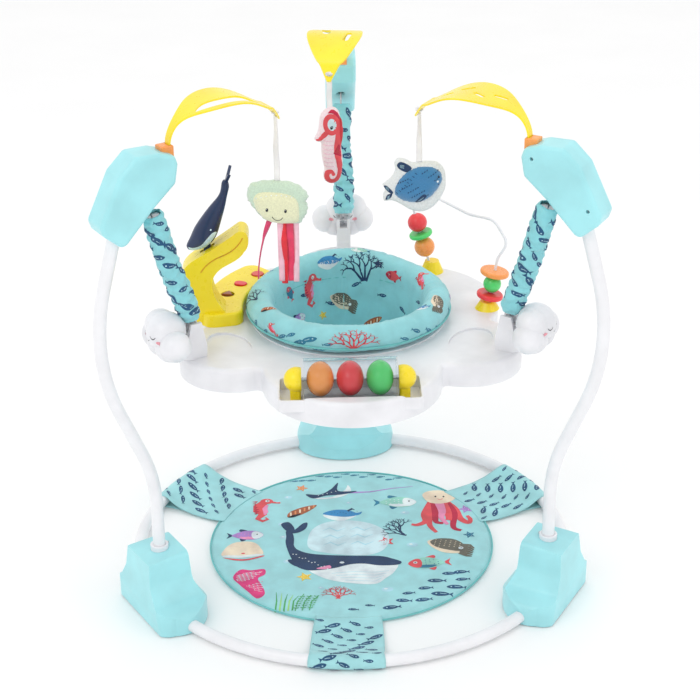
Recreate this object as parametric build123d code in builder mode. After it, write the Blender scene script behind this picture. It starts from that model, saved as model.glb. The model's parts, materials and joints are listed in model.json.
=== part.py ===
"""Activity jumper: three bowed legs on a floor ring, a bouncing tray with a turning seat, toys and a mat.

Millimetres. Z is up, the floor is z = 0 and the origin is below the centre of the seat.
The rear leg stands on +Y; the other two stand 120 degrees either side of it.
"""

import os
from math import cos, radians, sin

from build123d import *

os.makedirs("parts", exist_ok=True)

LEGS = {"rear": 90.0, "left": 210.0, "right": -30.0}  # azimuths in degrees

# floor ring, feet and uprights
TUBE_R, TUBE_WALL = 11.0, 1.2
RING_R, RING_Z = 400.0, 14.0
RING_GAP_ANGLE = 8.0  # where a ring tube stops inside a foot
UPRIGHT_R, UPRIGHT_Z = 398.0, 24.0
FIT = 0.1  # gap round a part that is fixed in another
FOOT_Z0, FOOT_Z1 = 1.5, 130.0
COLLAR_R, COLLAR_Z0, COLLAR_Z1 = 16.0, 112.0, 136.0

# leg tops, springs and sleeves: (radius, height) in the leg's own plane
TUBE_LEAN = 16.0
ANCHOR, HOOK = (386.0, 791.0), (309.0, 539.5)
SLEEVE_TOP, SLEEVE_BOTTOM = (374.0, 753.0), (313.0, 553.0)
SLEEVE_R, SLEEVE_BORE, COIL_R, WIRE_R = 19.0, 15.5, 11.0, 1.5
HOUSING_HALF, SHELL = 28.0, 3.0
PIN_R = 4.0

# toy arches
ARCH_ROOT_R, ARCH_T = 334.0, 3.0
ARCH_YAW = {"rear": -7.6, "left": 0.0, "right": 0.0}
SOCKET_Z0, SOCKET_Z1 = 842.0, 866.0
TOY_PIVOT = (-196.0, 876.0)  # (reach from the arch's root, height)

# tray, seat and what stands on the tray
TRAY_Z0, TRAY_Z1 = 437.0, 480.0
SEAT_HOLE, SEAT_GAP = 152.0, 0.08
CLOUD_R, CLOUD_Z = 360.0, 531.0
DRUM_X, DRUM_Y, DRUM_Z, DRUM_R, DRUM_HALF = -6.5, -285.0, 496.0, 34.0, 78.0
AXLE_R, RUN = 3.0, 0.05
POST_R = 2.5
TOWER, STACK = (163.0, 190.0), (250.0, 17.0)
WAVE_Y = -6.0

# play mat: azimuth of each strap and half the angle it covers
MAT_R, MAT_T = 268.0, 8.0
STRAPS = {267.0: 9.3, 27.5: 10.5, 146.5: 10.5}
STRAP_Z0, STRAP_T = 0.3, 2.4


def unit(azimuth):
    return cos(radians(azimuth)), sin(radians(azimuth))


def side(azimuth, offset=0.0):
    """Plane of a leg: local x outwards, local y up."""
    c, s = unit(azimuth)
    return Plane(origin=(s * offset, -c * offset, 0), x_dir=(c, s, 0), z_dir=(s, -c, 0))


def plan(azimuth, z=0.0, r=0.0):
    """Level plane: local x outwards, local y tangential."""
    c, s = unit(azimuth)
    return Plane(origin=(c * r, s * r, z), x_dir=(c, s, 0), z_dir=(0, 0, 1))


def front(azimuth, r):
    """Upright plane facing outwards: local x tangential, local y up."""
    c, s = unit(azimuth)
    return Plane(origin=(c * r, s * r, 0), x_dir=(-s, c, 0), z_dir=(c, s, 0))


def point(azimuth, r, z, t=0.0):
    c, s = unit(azimuth)
    return Vector(c * r - s * t, s * r + c * t, z)


def towards(start, end, x_dir=None):
    """Plane at start whose normal points at end."""
    a, b = Vector(*start), Vector(*end)
    return Plane(origin=a, x_dir=x_dir, z_dir=(b - a).normalized())


def save(part, name):
    part.label = name
    export_step(part, f"parts/{name}.step")


def rod(start, end, radius, bore=0.0):
    """Round bar, or a tube with a bore, between two points."""
    with BuildPart() as bar:
        with BuildSketch(towards(start, end)):
            Circle(radius)
            if bore:
                Circle(bore, mode=Mode.SUBTRACT)
        extrude(amount=(Vector(*end) - Vector(*start)).length)
    return bar.part


def group(parts, name):
    """Several separate solids in one file."""
    with BuildPart() as together:
        for part in parts:
            add(part)
    save(together.part, name)


# ---------------------------------------------------------------- floor ring, feet, uprights
def ring_path(start, end):
    with BuildLine() as path:
        CenterArc((0, 0, RING_Z), RING_R, start, end - start)
    return path.line


def ring_tube(start, end, radius, bore=0.0):
    c, s = unit(start)
    with BuildPart() as tube:
        with BuildSketch(Plane(origin=point(start, RING_R, RING_Z), x_dir=(c, s, 0), z_dir=(-s, c, 0))):
            Circle(radius)
            if bore:
                Circle(bore, mode=Mode.SUBTRACT)
        sweep(path=ring_path(start, end))
    return tube.part


def upright_path(azimuth):
    with BuildLine(side(azimuth)) as path:
        low = Line((UPRIGHT_R, UPRIGHT_Z), (UPRIGHT_R, 215))
        bend_out = JernArc(low @ 1, low % 1, 286, -22)
        slope = PolarLine(bend_out @ 1, 94, direction=bend_out % 1)
        bend_in = JernArc(slope @ 1, slope % 1, 357, 22 + TUBE_LEAN)
        PolarLine(bend_in @ 1, 110, direction=bend_in % 1)
    return path.line


def upright(azimuth, radius=TUBE_R, bore=TUBE_R - TUBE_WALL):
    with BuildPart() as tube:
        with BuildSketch(plan(azimuth, UPRIGHT_Z, UPRIGHT_R)):
            Circle(radius)
            if bore:
                Circle(bore, mode=Mode.SUBTRACT)
        sweep(path=upright_path(azimuth))
    return tube.part


def foot(azimuth):
    outline = [(100, FOOT_Z0), (100, 36), (67, 54), (48, 84), (42, FOOT_Z1)]
    with BuildPart() as shell:
        # seen from outside the ring: a tower that flares into two low shoulders
        with BuildSketch(Plane.XY) as bell:
            with BuildLine():
                Polyline(*outline, *[(-x, z) for x, z in reversed(outline)], close=True)
            make_face()
            fillet([v for v in bell.vertices() if 30 < v.Y < 110], 20)
            fillet([v for v in bell.vertices() if v.Y > FOOT_Z1 - 1], 12)
        with BuildSketch(front(azimuth, 320)):
            add(bell.sketch)
        extrude(amount=130)
        # seen along the ring
        with BuildSketch(side(azimuth)):
            with BuildLine():
                Polyline((326, FOOT_Z0), (328, 24), (348, 46), (361, 76), (363, FOOT_Z1),
                         (440, FOOT_Z1 - 6), (447, 40), (444, FOOT_Z0), close=True)
            make_face()
        extrude(amount=110, both=True, mode=Mode.INTERSECT)
        # seen from above: rounded and bulging inwards
        with BuildSketch(plan(azimuth, 0, 396)):
            Ellipse(70, 100)
            with Locations((18, 0)):
                RectangleRounded(68, 188, 30)
        extrude(amount=200, mode=Mode.INTERSECT)
        # hollow underside with a block left round the upright
        with BuildSketch(plan(azimuth, 0, 386)):
            RectangleRounded(92, 156, 30)
            with Locations((14, 0)):
                RectangleRounded(40, 40, 8, mode=Mode.SUBTRACT)
        extrude(amount=31, mode=Mode.SUBTRACT)
        with BuildSketch(plan(azimuth, UPRIGHT_Z - FIT, UPRIGHT_R)):
            Circle(TUBE_R + FIT)
        extrude(amount=200, mode=Mode.SUBTRACT)
        with BuildSketch(plan(azimuth, COLLAR_Z0, UPRIGHT_R)):
            Circle(COLLAR_R + FIT)
        extrude(amount=60, mode=Mode.SUBTRACT)
        # the ring's tubes come in at both ends
        add(ring_tube(azimuth - 18, azimuth - 5, TUBE_R + FIT), mode=Mode.SUBTRACT)
        add(ring_tube(azimuth + 5, azimuth + 18, TUBE_R + FIT), mode=Mode.SUBTRACT)
    return shell.part


def foot_plate(azimuth):
    """Closing plate that sits in the foot's hollow underside."""
    with BuildPart() as plate:
        with BuildSketch(plan(azimuth, FOOT_Z0, 386)):
            RectangleRounded(92 - 2 * FIT, 156 - 2 * FIT, 30 - FIT)
            with Locations((14, 0)):
                RectangleRounded(40 + 2 * FIT, 40 + 2 * FIT, 8, mode=Mode.SUBTRACT)
        extrude(amount=1.3)
    return plate.part


def foot_pads(azimuth):
    return [
        rod(point(azimuth, r, 0, t), point(azimuth, r, FOOT_Z0, t), 7)
        for r, t in ((352, 0), (420, 55), (420, -55))
    ]


def collar(azimuth):
    """White ring that holds the upright in its foot, with a hole for a screw."""
    with BuildPart() as ring:
        with BuildSketch(plan(azimuth, COLLAR_Z0, UPRIGHT_R)):
            Circle(COLLAR_R)
            Circle(TUBE_R + FIT, mode=Mode.SUBTRACT)
        extrude(amount=COLLAR_Z1 - COLLAR_Z0)
        fillet(ring.edges().group_by(Axis.Z)[-1], 1.5)
        with BuildSketch(front(azimuth, UPRIGHT_R - COLLAR_R - 1)):
            with Locations((0, COLLAR_Z1 - 3.5)):
                Circle(1.6)
        extrude(amount=8, mode=Mode.SUBTRACT)
    return ring.part


def collar_screw(azimuth):
    z = COLLAR_Z1 - 3.5
    head = UPRIGHT_R - COLLAR_R
    with BuildPart() as screw:
        add(rod(point(azimuth, head - 1.6, z), point(azimuth, head - 0.02, z), 2.6))
        add(rod(point(azimuth, head - 0.1, z), point(azimuth, head + 4.5, z), 1.5))
    return screw.part


# ---------------------------------------------------------------- leg tops, springs, sleeves
HOUSING_OUTLINE = [(332, 838), (337, 853), (364, 862), (405, 863), (436, 835), (475, 758),
                   (470, 742), (440, 716), (430, 719), (379, 771), (338, 806)]
SCREW_SPOTS = [(352, 838), (452, 765)]


def housing_half(azimuth, keep):
    """Half of the shell at the top of a leg; it clamps the tube and holds the spring's pin."""
    with BuildPart() as shell:
        with BuildSketch(side(azimuth)):
            with BuildLine():
                Polyline(*HOUSING_OUTLINE, close=True)
            make_face()
        extrude(amount=HOUSING_HALF, both=True)
        upright_edges = shell.edges().filter_by(lambda e: abs(e.length - 2 * HOUSING_HALF) < 0.01)
        fillet(upright_edges, 11)
        faces = shell.faces().sort_by(SortBy.AREA)[-2:]
        fillet(faces.edges(), 7)
        with BuildSketch(side(azimuth)):
            with BuildLine():
                Polyline(*HOUSING_OUTLINE, close=True)
            make_face()
            offset(amount=-SHELL - 1.5, kind=Kind.INTERSECTION, mode=Mode.REPLACE)
        extrude(amount=HOUSING_HALF - SHELL - 1.5, both=True, mode=Mode.SUBTRACT)
        # two ribs that clamp the tube, and bosses for the pin and the screws
        for z0, z1 in ((727, 731), (739, 743)):
            with BuildSketch(side(azimuth)):
                with BuildLine():
                    Polyline((425, z0), (466, z0 + 12), (466, z1 + 12), (425, z1), close=True)
                make_face()
            extrude(amount=HOUSING_HALF - SHELL, both=True)
        with BuildSketch(side(azimuth)):
            with Locations(ANCHOR):
                Circle(8)
            with Locations(*SCREW_SPOTS):
                Circle(4.5)
        extrude(amount=HOUSING_HALF - SHELL, both=True)
        with BuildSketch(side(azimuth)):
            with Locations(ANCHOR):
                Circle(13)
        extrude(amount=9, both=True, mode=Mode.SUBTRACT)
        with BuildSketch(side(azimuth)):
            with Locations(ANCHOR):
                Circle(PIN_R + FIT)
        extrude(amount=HOUSING_HALF - SHELL - 1, both=True, mode=Mode.SUBTRACT)
        with BuildSketch(side(azimuth, HOUSING_HALF - 8)):
            with Locations(*SCREW_SPOTS):
                Circle(1.6)
        extrude(amount=-2 * HOUSING_HALF + 12, mode=Mode.SUBTRACT)
        with BuildSketch(side(azimuth, HOUSING_HALF)):
            with Locations(*SCREW_SPOTS):
                Circle(3.2)
        extrude(amount=-9, mode=Mode.SUBTRACT)
        # the spring's way out, the tube's way in and the socket of the arch
        add(rod(point(azimuth, *ANCHOR), point(azimuth, *SLEEVE_TOP), 8.5), mode=Mode.SUBTRACT)
        add(upright(azimuth, TUBE_R + FIT, 0), mode=Mode.SUBTRACT)
        with BuildSketch(plan(azimuth, SOCKET_Z0 - FIT, ARCH_ROOT_R + 9)):
            Rectangle(22 + 2 * FIT, 22 + 2 * FIT)
        extrude(amount=60, mode=Mode.SUBTRACT)
        split(bisect_by=side(azimuth), keep=keep)
    return shell.part


def anchor_pin(azimuth):
    reach = HOUSING_HALF - SHELL - 1.2
    return rod(point(azimuth, *ANCHOR, -reach), point(azimuth, *ANCHOR, reach), PIN_R)


def housing_screws(azimuth):
    screws = []
    for r, z in SCREW_SPOTS:
        outer = -(HOUSING_HALF - 8.9)  # the plane's normal runs against the tangential axis
        with BuildPart() as screw:
            add(rod(point(azimuth, r, z, outer), point(azimuth, r, z, outer - 2.6), 3))
            add(rod(point(azimuth, r, z, outer), point(azimuth, r, z, outer + 25), 1.5))
        screws.append(screw.part)
    return screws


def spring(azimuth):
    """Coil between two cap discs, each with a rod and an eye for its pin."""
    top, bottom = point(azimuth, *SLEEVE_TOP), point(azimuth, *SLEEVE_BOTTOM)
    up = (top - bottom).normalized()
    c, s = unit(azimuth)
    low, high = bottom + up * 12, top - up * 6
    height = (high - low).length
    with BuildPart() as coil:
        with BuildLine() as path:
            Helix(pitch=9, height=height, radius=COIL_R, center=low, direction=up)
        with BuildSketch(Plane(origin=path.line @ 0, z_dir=path.line % 0)):
            Circle(WIRE_R)
        sweep(path=path.line, is_frenet=True)
        add(rod(low - up * 2, low + up * 1, COIL_R + 2))
        add(rod(high - up * 1, high + up * 2, COIL_R + 2))
        for near, eye, eye_r in ((high, ANCHOR, 6.5), (low, HOOK, 5.5)):
            centre = point(azimuth, *eye)
            away = (centre - near).normalized()
            add(rod(near, centre - away * eye_r, WIRE_R))
            with BuildPart(Plane(origin=centre, x_dir=(c, s, 0), z_dir=(s, -c, 0))) as eyelet:
                Torus(eye_r, WIRE_R)
            add(eyelet.part)
    return coil.part


def sleeve(azimuth):
    return rod(point(azimuth, *SLEEVE_TOP), point(azimuth, *SLEEVE_BOTTOM), SLEEVE_R, SLEEVE_BORE)


# ---------------------------------------------------------------- toy arches
def arch_plane(leg, z=0.0):
    """Level plane at an arch's root: local x outwards along the arch, local y across it."""
    azimuth = LEGS[leg]
    root = point(azimuth, ARCH_ROOT_R, z)
    c, s = unit(azimuth + ARCH_YAW[leg])
    return Plane(origin=root, x_dir=(c, s, 0), z_dir=(0, 0, 1))


def arch_side(leg):
    azimuth = LEGS[leg]
    c, s = unit(azimuth + ARCH_YAW[leg])
    return Plane(origin=point(azimuth, ARCH_ROOT_R, 0), x_dir=(c, s, 0), z_dir=(s, -c, 0))


def arch(leg):
    """Thin leaf, narrow at both ends, that bows up from its socket and hangs a toy at its tip."""
    with BuildPart() as leaf:
        with BuildSketch(arch_side(leg)):
            with BuildLine():
                Spline((3, 850), (2, 872), (-12, 899), (-50, 920), (-94, 927), (-140, 917),
                       (-175, 899), (-203, 871), tangents=((0, 1), (-0.6, -0.8)))
            trace(line_width=ARCH_T)
        extrude(amount=60, both=True)
        # the leaf's outline from above
        with BuildSketch(arch_plane(leg)):
            with BuildLine():
                upper = Spline((12, 8), (-6, 9), (-50, 38), (-98, 50), (-150, 36), (-196, 8), (-206, 0))
                mirror(upper, about=Plane.XZ)
                Line((12, 8), (12, -8))
            make_face()
        extrude(amount=1000, mode=Mode.INTERSECT)
        with BuildSketch(arch_plane(leg)):
            with Locations((-196, 0)):
                Circle(2.5)
            if leg == "left":
                with BuildLine():
                    hole = Spline((-38, 22), (-98, 38), (-158, 20))
                    Spline(hole @ 1, (-140, 4), (-98, 10), (-56, 8), hole @ 0)
                make_face()
            if leg == "right":
                for x, y, turn in ((-52, 6, 20), (-82, -14, -25), (-112, 10, 30), (-142, -6, -15)):
                    with Locations(Location((x, y), turn)):
                        SlotOverall(24, 9)
            if leg == "rear":
                with Locations(Location((-70, 18), 8)):
                    SlotOverall(62, 15)
                with Locations(Location((-110, -24), -12)):
                    SlotOverall(34, 12)
        extrude(amount=1000, mode=Mode.SUBTRACT)
    return leaf.part


def arch_socket(leg):
    """Orange block on the leg's top that the arch plugs into."""
    azimuth = LEGS[leg]
    with BuildPart() as block:
        with BuildSketch(plan(azimuth, SOCKET_Z0, ARCH_ROOT_R + 9)):
            Rectangle(22, 22)
        extrude(amount=SOCKET_Z1 - SOCKET_Z0)
        fillet(block.edges().group_by(Axis.Z)[-1], 2.5)
        with BuildSketch(arch_plane(leg, 849.5)):
            with Locations((3, 0)):
                Rectangle(ARCH_T + 2.5, 19)
        extrude(amount=40, mode=Mode.SUBTRACT)
    return block.part


# ---------------------------------------------------------------- play mat
def play_mat():
    """Padded round mat with three straps that wrap round the floor ring."""
    with BuildPart() as mat:
        with BuildSketch():
            Circle(MAT_R)
        extrude(amount=MAT_T)
        fillet(mat.edges(), 3)
        for azimuth, half in STRAPS.items():
            with BuildSketch(Plane.XY.offset(STRAP_Z0)):
                with BuildLine():
                    inner = CenterArc((0, 0), MAT_R - 12, azimuth - 1.45 * half, 2.9 * half)
                    outer = CenterArc((0, 0), RING_R, azimuth - half, 2 * half)
                    Line(inner @ 0, outer @ 0)
                    Line(inner @ 1, outer @ 1)
                make_face()
            extrude(amount=STRAP_T)
            wrap = RING_Z - STRAP_Z0
            with BuildPart() as loop:
                with BuildSketch(side(azimuth - half)):
                    with Locations((RING_R, RING_Z)):
                        Circle(wrap)
                        Circle(wrap - STRAP_T, mode=Mode.SUBTRACT)
                revolve(axis=Axis.Z, revolution_arc=2 * half)
            add(loop.part)
    return mat.part


# ---------------------------------------------------------------- tray
def tray_outline(inset=0.0):
    """Six lobes round a hub, as circles of (x, y, radius)."""
    lobes = [(0, 0, 250.0), (0, -197, 152.0)]
    for azimuth, r, radius in ((210, 231, 97), (-30, 231, 97), (90, 231, 97),
                               (30, 110, 178), (150, 110, 178)):
        c, s = unit(azimuth)
        lobes.append((c * r, s * r, radius))
    with BuildSketch() as outline:
        for x, y, radius in lobes:
            with Locations((x, y)):
                Circle(radius - inset)
        if not inset:
            fillet(outline.vertices(), 12)
    return outline.sketch


DISHES = {208.0: 238.0, -29.0: 238.0}
BOSSES = [(r, a) for r, a in ((275, 210), (275, -30), (275, 90), (215, 30), (215, 150), (320, 270))]
WELL = (DRUM_X, DRUM_Y, 2 * 116.0, 2 * 37.0)  # centre x, y and size of the drum's hollow
WELL_FLOOR = 459.0


def tray_top():
    with BuildPart() as tray:
        with BuildSketch(Plane.XY.offset(TRAY_Z0)):
            add(tray_outline())
        extrude(amount=TRAY_Z1 - TRAY_Z0)
        fillet(tray.edges().group_by(Axis.Z)[-1], 8)
        with BuildSketch(Plane.XY.offset(TRAY_Z0)):
            add(tray_outline(SHELL))
            Circle(SEAT_HOLE + SHELL, mode=Mode.SUBTRACT)
        extrude(amount=TRAY_Z1 - TRAY_Z0 - SHELL, mode=Mode.SUBTRACT)
        # bosses for the screws, pads under the dishes, walls of the drum's well
        with BuildSketch(Plane.XY.offset(TRAY_Z0 + 3.2)):
            for r, azimuth in BOSSES:
                with Locations(point(azimuth, r, 0)):
                    Circle(5)
        extrude(amount=TRAY_Z1 - TRAY_Z0 - 5)
        for azimuth, r in DISHES.items():
            with BuildSketch(plan(azimuth, TRAY_Z1 - 8, r)):
                Ellipse(38, 56)
            extrude(amount=6)
        x, y, wide, deep = WELL
        with BuildSketch(Plane.XY.offset(WELL_FLOOR - SHELL)):
            with Locations((x, y)):
                RectangleRounded(wide + 6, deep + 6, 9)
        extrude(amount=TRAY_Z1 - WELL_FLOOR)
        with BuildSketch(Plane.XY.offset(WELL_FLOOR)):
            with Locations((x, y)):
                RectangleRounded(wide, deep, 6)
        extrude(amount=60, mode=Mode.SUBTRACT)
        for azimuth, r in DISHES.items():
            with BuildSketch(plan(azimuth, TRAY_Z1 - 4, r)):
                Ellipse(35, 53)
            extrude(amount=10, mode=Mode.SUBTRACT)
        with BuildSketch(Plane.XY.offset(TRAY_Z0 - 1)):
            Circle(SEAT_HOLE)
        extrude(amount=60, mode=Mode.SUBTRACT)
        with BuildSketch(Plane.XY.offset(TRAY_Z0)):
            for r, azimuth in BOSSES:
                with Locations(point(azimuth, r, 0)):
                    Circle(1.6)
        extrude(amount=24, mode=Mode.SUBTRACT)
    return tray.part


def tray_bottom():
    with BuildPart() as plate:
        with BuildSketch(Plane.XY.offset(TRAY_Z0)):
            add(tray_outline(SHELL + 0.15))
            Circle(SEAT_HOLE + SHELL + 0.15, mode=Mode.SUBTRACT)
            for r, azimuth in BOSSES:
                with Locations(point(azimuth, r, 0)):
                    Circle(1.7, mode=Mode.SUBTRACT)
        extrude(amount=3)
    return plate.part


def tray_screw(r, azimuth):
    with BuildPart() as screw:
        add(rod(point(azimuth, r, TRAY_Z0 - 2), point(azimuth, r, TRAY_Z0), 3.5))
        add(rod(point(azimuth, r, TRAY_Z0 - 1), point(azimuth, r, TRAY_Z0 + 20), 1.5))
    return screw.part


def spring_bracket(azimuth):
    """White post on the tray that holds the spring's lower pin and the cloud."""
    with BuildPart() as bracket:
        with BuildSketch(side(azimuth)):
            with BuildLine():
                Polyline((292, TRAY_Z1), (290, 500), (299, 545), (319, 545), (326, 512), (346, 500),
                         (346, 489), (322, TRAY_Z1), close=True)
            make_face()
        extrude(amount=13, both=True)
        with BuildSketch(side(azimuth)):
            with BuildLine():
                Polyline((280, 528), (330, 528), (330, 560), (280, 560), close=True)
            make_face()
        extrude(amount=7, both=True, mode=Mode.SUBTRACT)
        add(rod(point(azimuth, *HOOK, -10), point(azimuth, *HOOK, 10), 2.8))
    return bracket.part


CLOUD_LOBES = [(0, 9, 34), (-33, -7, 27), (33, -7, 27), (-15, -14, 27), (15, -14, 27), (-20, 14, 27)]


def cloud(azimuth):
    with BuildPart() as puff:
        for t, z, radius in CLOUD_LOBES:
            with Locations(point(azimuth, CLOUD_R, CLOUD_Z + z, t)):
                Sphere(radius)
        # pocket for the sleeve's end and a slot that slides over the bracket
        away = (point(azimuth, *SLEEVE_TOP) - point(azimuth, *SLEEVE_BOTTOM)).normalized()
        end = point(azimuth, *SLEEVE_BOTTOM) - away * 30
        add(rod(end, point(azimuth, *SLEEVE_TOP), SLEEVE_R + 1), mode=Mode.SUBTRACT)
        with BuildSketch(side(azimuth)):
            with BuildLine():
                Polyline((250, 440), (250, 560), (330, 560), (330, 513), (347, 501.5), (347, 440), close=True)
            make_face()
        extrude(amount=13.2, both=True, mode=Mode.SUBTRACT)
    return puff.part


# ---------------------------------------------------------------- roller drum
def drum_bracket(sign):
    """Yellow end knob with a foot in the tray's well."""
    x = DRUM_X + sign * (DRUM_HALF + 2)
    with BuildPart() as knob:
        with Locations((x + sign * 8, DRUM_Y, DRUM_Z)):
            Sphere(21)
        with BuildSketch(Plane.XY.offset(WELL_FLOOR)):
            with Locations((x + sign * 10, DRUM_Y)):
                RectangleRounded(18, 26, 4)
        extrude(amount=DRUM_Z - WELL_FLOOR)
        keep = x + sign * 40
        with Locations((keep, DRUM_Y, DRUM_Z)):
            Box(80, 90, 90, mode=Mode.INTERSECT)
        add(rod((x - sign, DRUM_Y, DRUM_Z), (x + sign * 14, DRUM_Y, DRUM_Z), AXLE_R + FIT),
            mode=Mode.SUBTRACT)
    return knob.part


def drum_shell():
    left, right = DRUM_X - DRUM_HALF, DRUM_X + DRUM_HALF
    wall = 2.0
    with BuildPart() as shell:
        add(rod((left, DRUM_Y, DRUM_Z), (right, DRUM_Y, DRUM_Z), DRUM_R))
        add(rod((left + wall, DRUM_Y, DRUM_Z), (right - wall, DRUM_Y, DRUM_Z), DRUM_R - wall),
            mode=Mode.SUBTRACT)
        add(rod((left - 1, DRUM_Y, DRUM_Z), (right + 1, DRUM_Y, DRUM_Z), AXLE_R + RUN), mode=Mode.SUBTRACT)
    return shell.part


def drum_ball(x):
    """Egg-shaped ball threaded on the axle, its long way round the drum."""
    with BuildPart() as ball:
        with BuildSketch(Plane(origin=(x, DRUM_Y, DRUM_Z), x_dir=(1, 0, 0), z_dir=(0, -1, 0))):
            Ellipse(22.5, 29)
            with Locations((0, -30 + AXLE_R + RUN)):
                Rectangle(80, 60, mode=Mode.SUBTRACT)
        revolve(axis=Axis((x, DRUM_Y, DRUM_Z), (1, 0, 0)))
    return ball.part


# ---------------------------------------------------------------- bead toy
TOWER_DIR, STACK_DIR = Vector(-0.27, 0.0, 0.963), Vector(0.17, 0.0, 0.985)
TOWER_BASE, STACK_BASE = Vector(*TOWER, TRAY_Z1), Vector(*STACK, TRAY_Z1)


def on_tower(d):
    return TOWER_BASE + TOWER_DIR.normalized() * d


def on_stack(d):
    return STACK_BASE + STACK_DIR.normalized() * d


def bead_wire():
    """White wire: straight through each stack of beads, with a hump between them."""
    start, end = on_tower(10), on_stack(10)
    hump = [(160, 165, 642), (222, 95, 630), (262, 40, 640), (284, 17, 604)]
    with BuildPart() as wire:
        with BuildLine() as path:
            FilletPolyline(start, on_tower(150), *hump, on_stack(97), end, radius=[25, 60, 60, 30, 18, 30])
        with BuildSketch(Plane(origin=start, z_dir=TOWER_DIR)):
            Circle(POST_R)
        sweep(path=path.line)
    return wire.part


def bead_post(base, direction, height):
    """Yellow cone on the tray with a socket for the wire."""
    with BuildPart() as cone:
        with BuildSketch(Plane(origin=base)):
            Circle(22)
        with BuildSketch(Plane(origin=base + Vector(0, 0, height))):
            Circle(13)
        loft()
        add(rod(base + direction.normalized() * 9.9, base + direction.normalized() * 60, POST_R + FIT),
            mode=Mode.SUBTRACT)
    return cone.part


def bead(kind, centre, direction, size, thick=0.0):
    """Ball, or a disc with a rounded rim, with a hole for the wire."""
    way = direction.normalized()
    with BuildPart() as item:
        with BuildSketch(Plane(origin=centre, x_dir=Vector(0, 1, 0), z_dir=way.cross(Vector(0, 1, 0)) * -1)):
            if kind == "ball":
                Circle(size)
            else:
                RectangleRounded(2 * size, thick, 0.42 * thick)
            with Locations((-100 + POST_R + RUN, 0)):
                Rectangle(200, 200, mode=Mode.SUBTRACT)
        revolve(axis=Axis(centre, way))
    return item.part


# ---------------------------------------------------------------- wave toy and whale
BUTTON_R = 12.0
BUTTON_SPOTS = [(167.0, 222.0), (154.0, 216.0), (140.0, 214.0)]
BUTTON_NAMES = ["button_brown", "button_red", "button_coral"]
WHALE_PIVOT = (-246.0, 611.0)
WHALE_SPINE = [(-280, 619, 4), (-273, 623, 10), (-262, 631, 16), (-250, 645, 20), (-240, 663, 18.5),
               (-231, 681, 15), (-222, 698, 11), (-214, 716, 7), (-209, 742, 4)]  # x, z, radius


def wave_toy():
    """Breaking wave on a curved block that follows the seat's rim, with three button holes."""
    with BuildPart() as toy:
        with BuildSketch(Plane.XY.offset(TRAY_Z1)) as footprint:
            with BuildLine():
                outer = CenterArc((0, 0), 262, 132, 58)
                inner = CenterArc((0, 0), 188, 132, 58)
                Line(outer @ 0, inner @ 0)
                Line(outer @ 1, inner @ 1)
            make_face()
            fillet(footprint.vertices(), 22)
        extrude(amount=24)
        fillet(toy.edges().group_by(Axis.Z)[-1], 5)
        with BuildSketch(Plane.XY.offset(TRAY_Z1)) as hollow:
            with BuildLine():
                outer = CenterArc((0, 0), 258, 135, 34)
                inner = CenterArc((0, 0), 192, 135, 34)
                Line(outer @ 0, inner @ 0)
                Line(outer @ 1, inner @ 1)
            make_face()
            fillet(hollow.vertices(), 18)
        extrude(amount=20, mode=Mode.SUBTRACT)
        with BuildSketch(Plane(origin=(0, WAVE_Y, 0), x_dir=(1, 0, 0), z_dir=(0, -1, 0))):
            with BuildLine():
                back = Spline((-276, TRAY_Z1), (-284, 540), (-291, 580), (-276, 599), (-250, 615),
                              (-218, 636), (-190, 656))
                tip = Spline(back @ 1, (-177, 652), (-173, 636), (-181, 618))
                belly = Spline(tip @ 1, (-200, 600), (-226, 584), (-238, 566), (-234, 530), (-214, 500))
                Polyline(belly @ 1, (-206, TRAY_Z1), back @ 0)
            make_face()
        extrude(amount=24, both=True)
        for azimuth, r in BUTTON_SPOTS:
            with BuildSketch(plan(azimuth, TRAY_Z1 + 12, r)):
                Circle(BUTTON_R + 0.3)
            extrude(amount=30, mode=Mode.SUBTRACT)
        # slot for the whale's stem
        with BuildSketch(Plane(origin=(WHALE_PIVOT[0], WAVE_Y, 0), x_dir=(1, 0, 0), z_dir=(0, -1, 0))):
            with BuildLine():
                Polyline((-13, 640), (-13, 602), (13, 602), (13, 660), close=True)
            make_face()
        extrude(amount=5, both=True, mode=Mode.SUBTRACT)
        pivot = (WHALE_PIVOT[0], WAVE_Y, WHALE_PIVOT[1])
        add(rod((pivot[0], WAVE_Y - 8, pivot[2]), (pivot[0], WAVE_Y + 8, pivot[2]), 2.0))
    return toy.part


def button(azimuth, r):
    """Flat-topped push button with a guide rim."""
    with BuildPart() as cap:
        with BuildSketch(plan(azimuth, TRAY_Z1 + 15.5, r)):
            if azimuth > 160:
                RegularPolygon(BUTTON_R, 3, rotation=30)
            elif azimuth > 150:
                SlotOverall(2 * BUTTON_R, 1.4 * BUTTON_R)
            else:
                Circle(BUTTON_R - 1)
        extrude(amount=11)
        fillet(cap.edges().group_by(Axis.Z)[-1], 1.2)
    return cap.part


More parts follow.
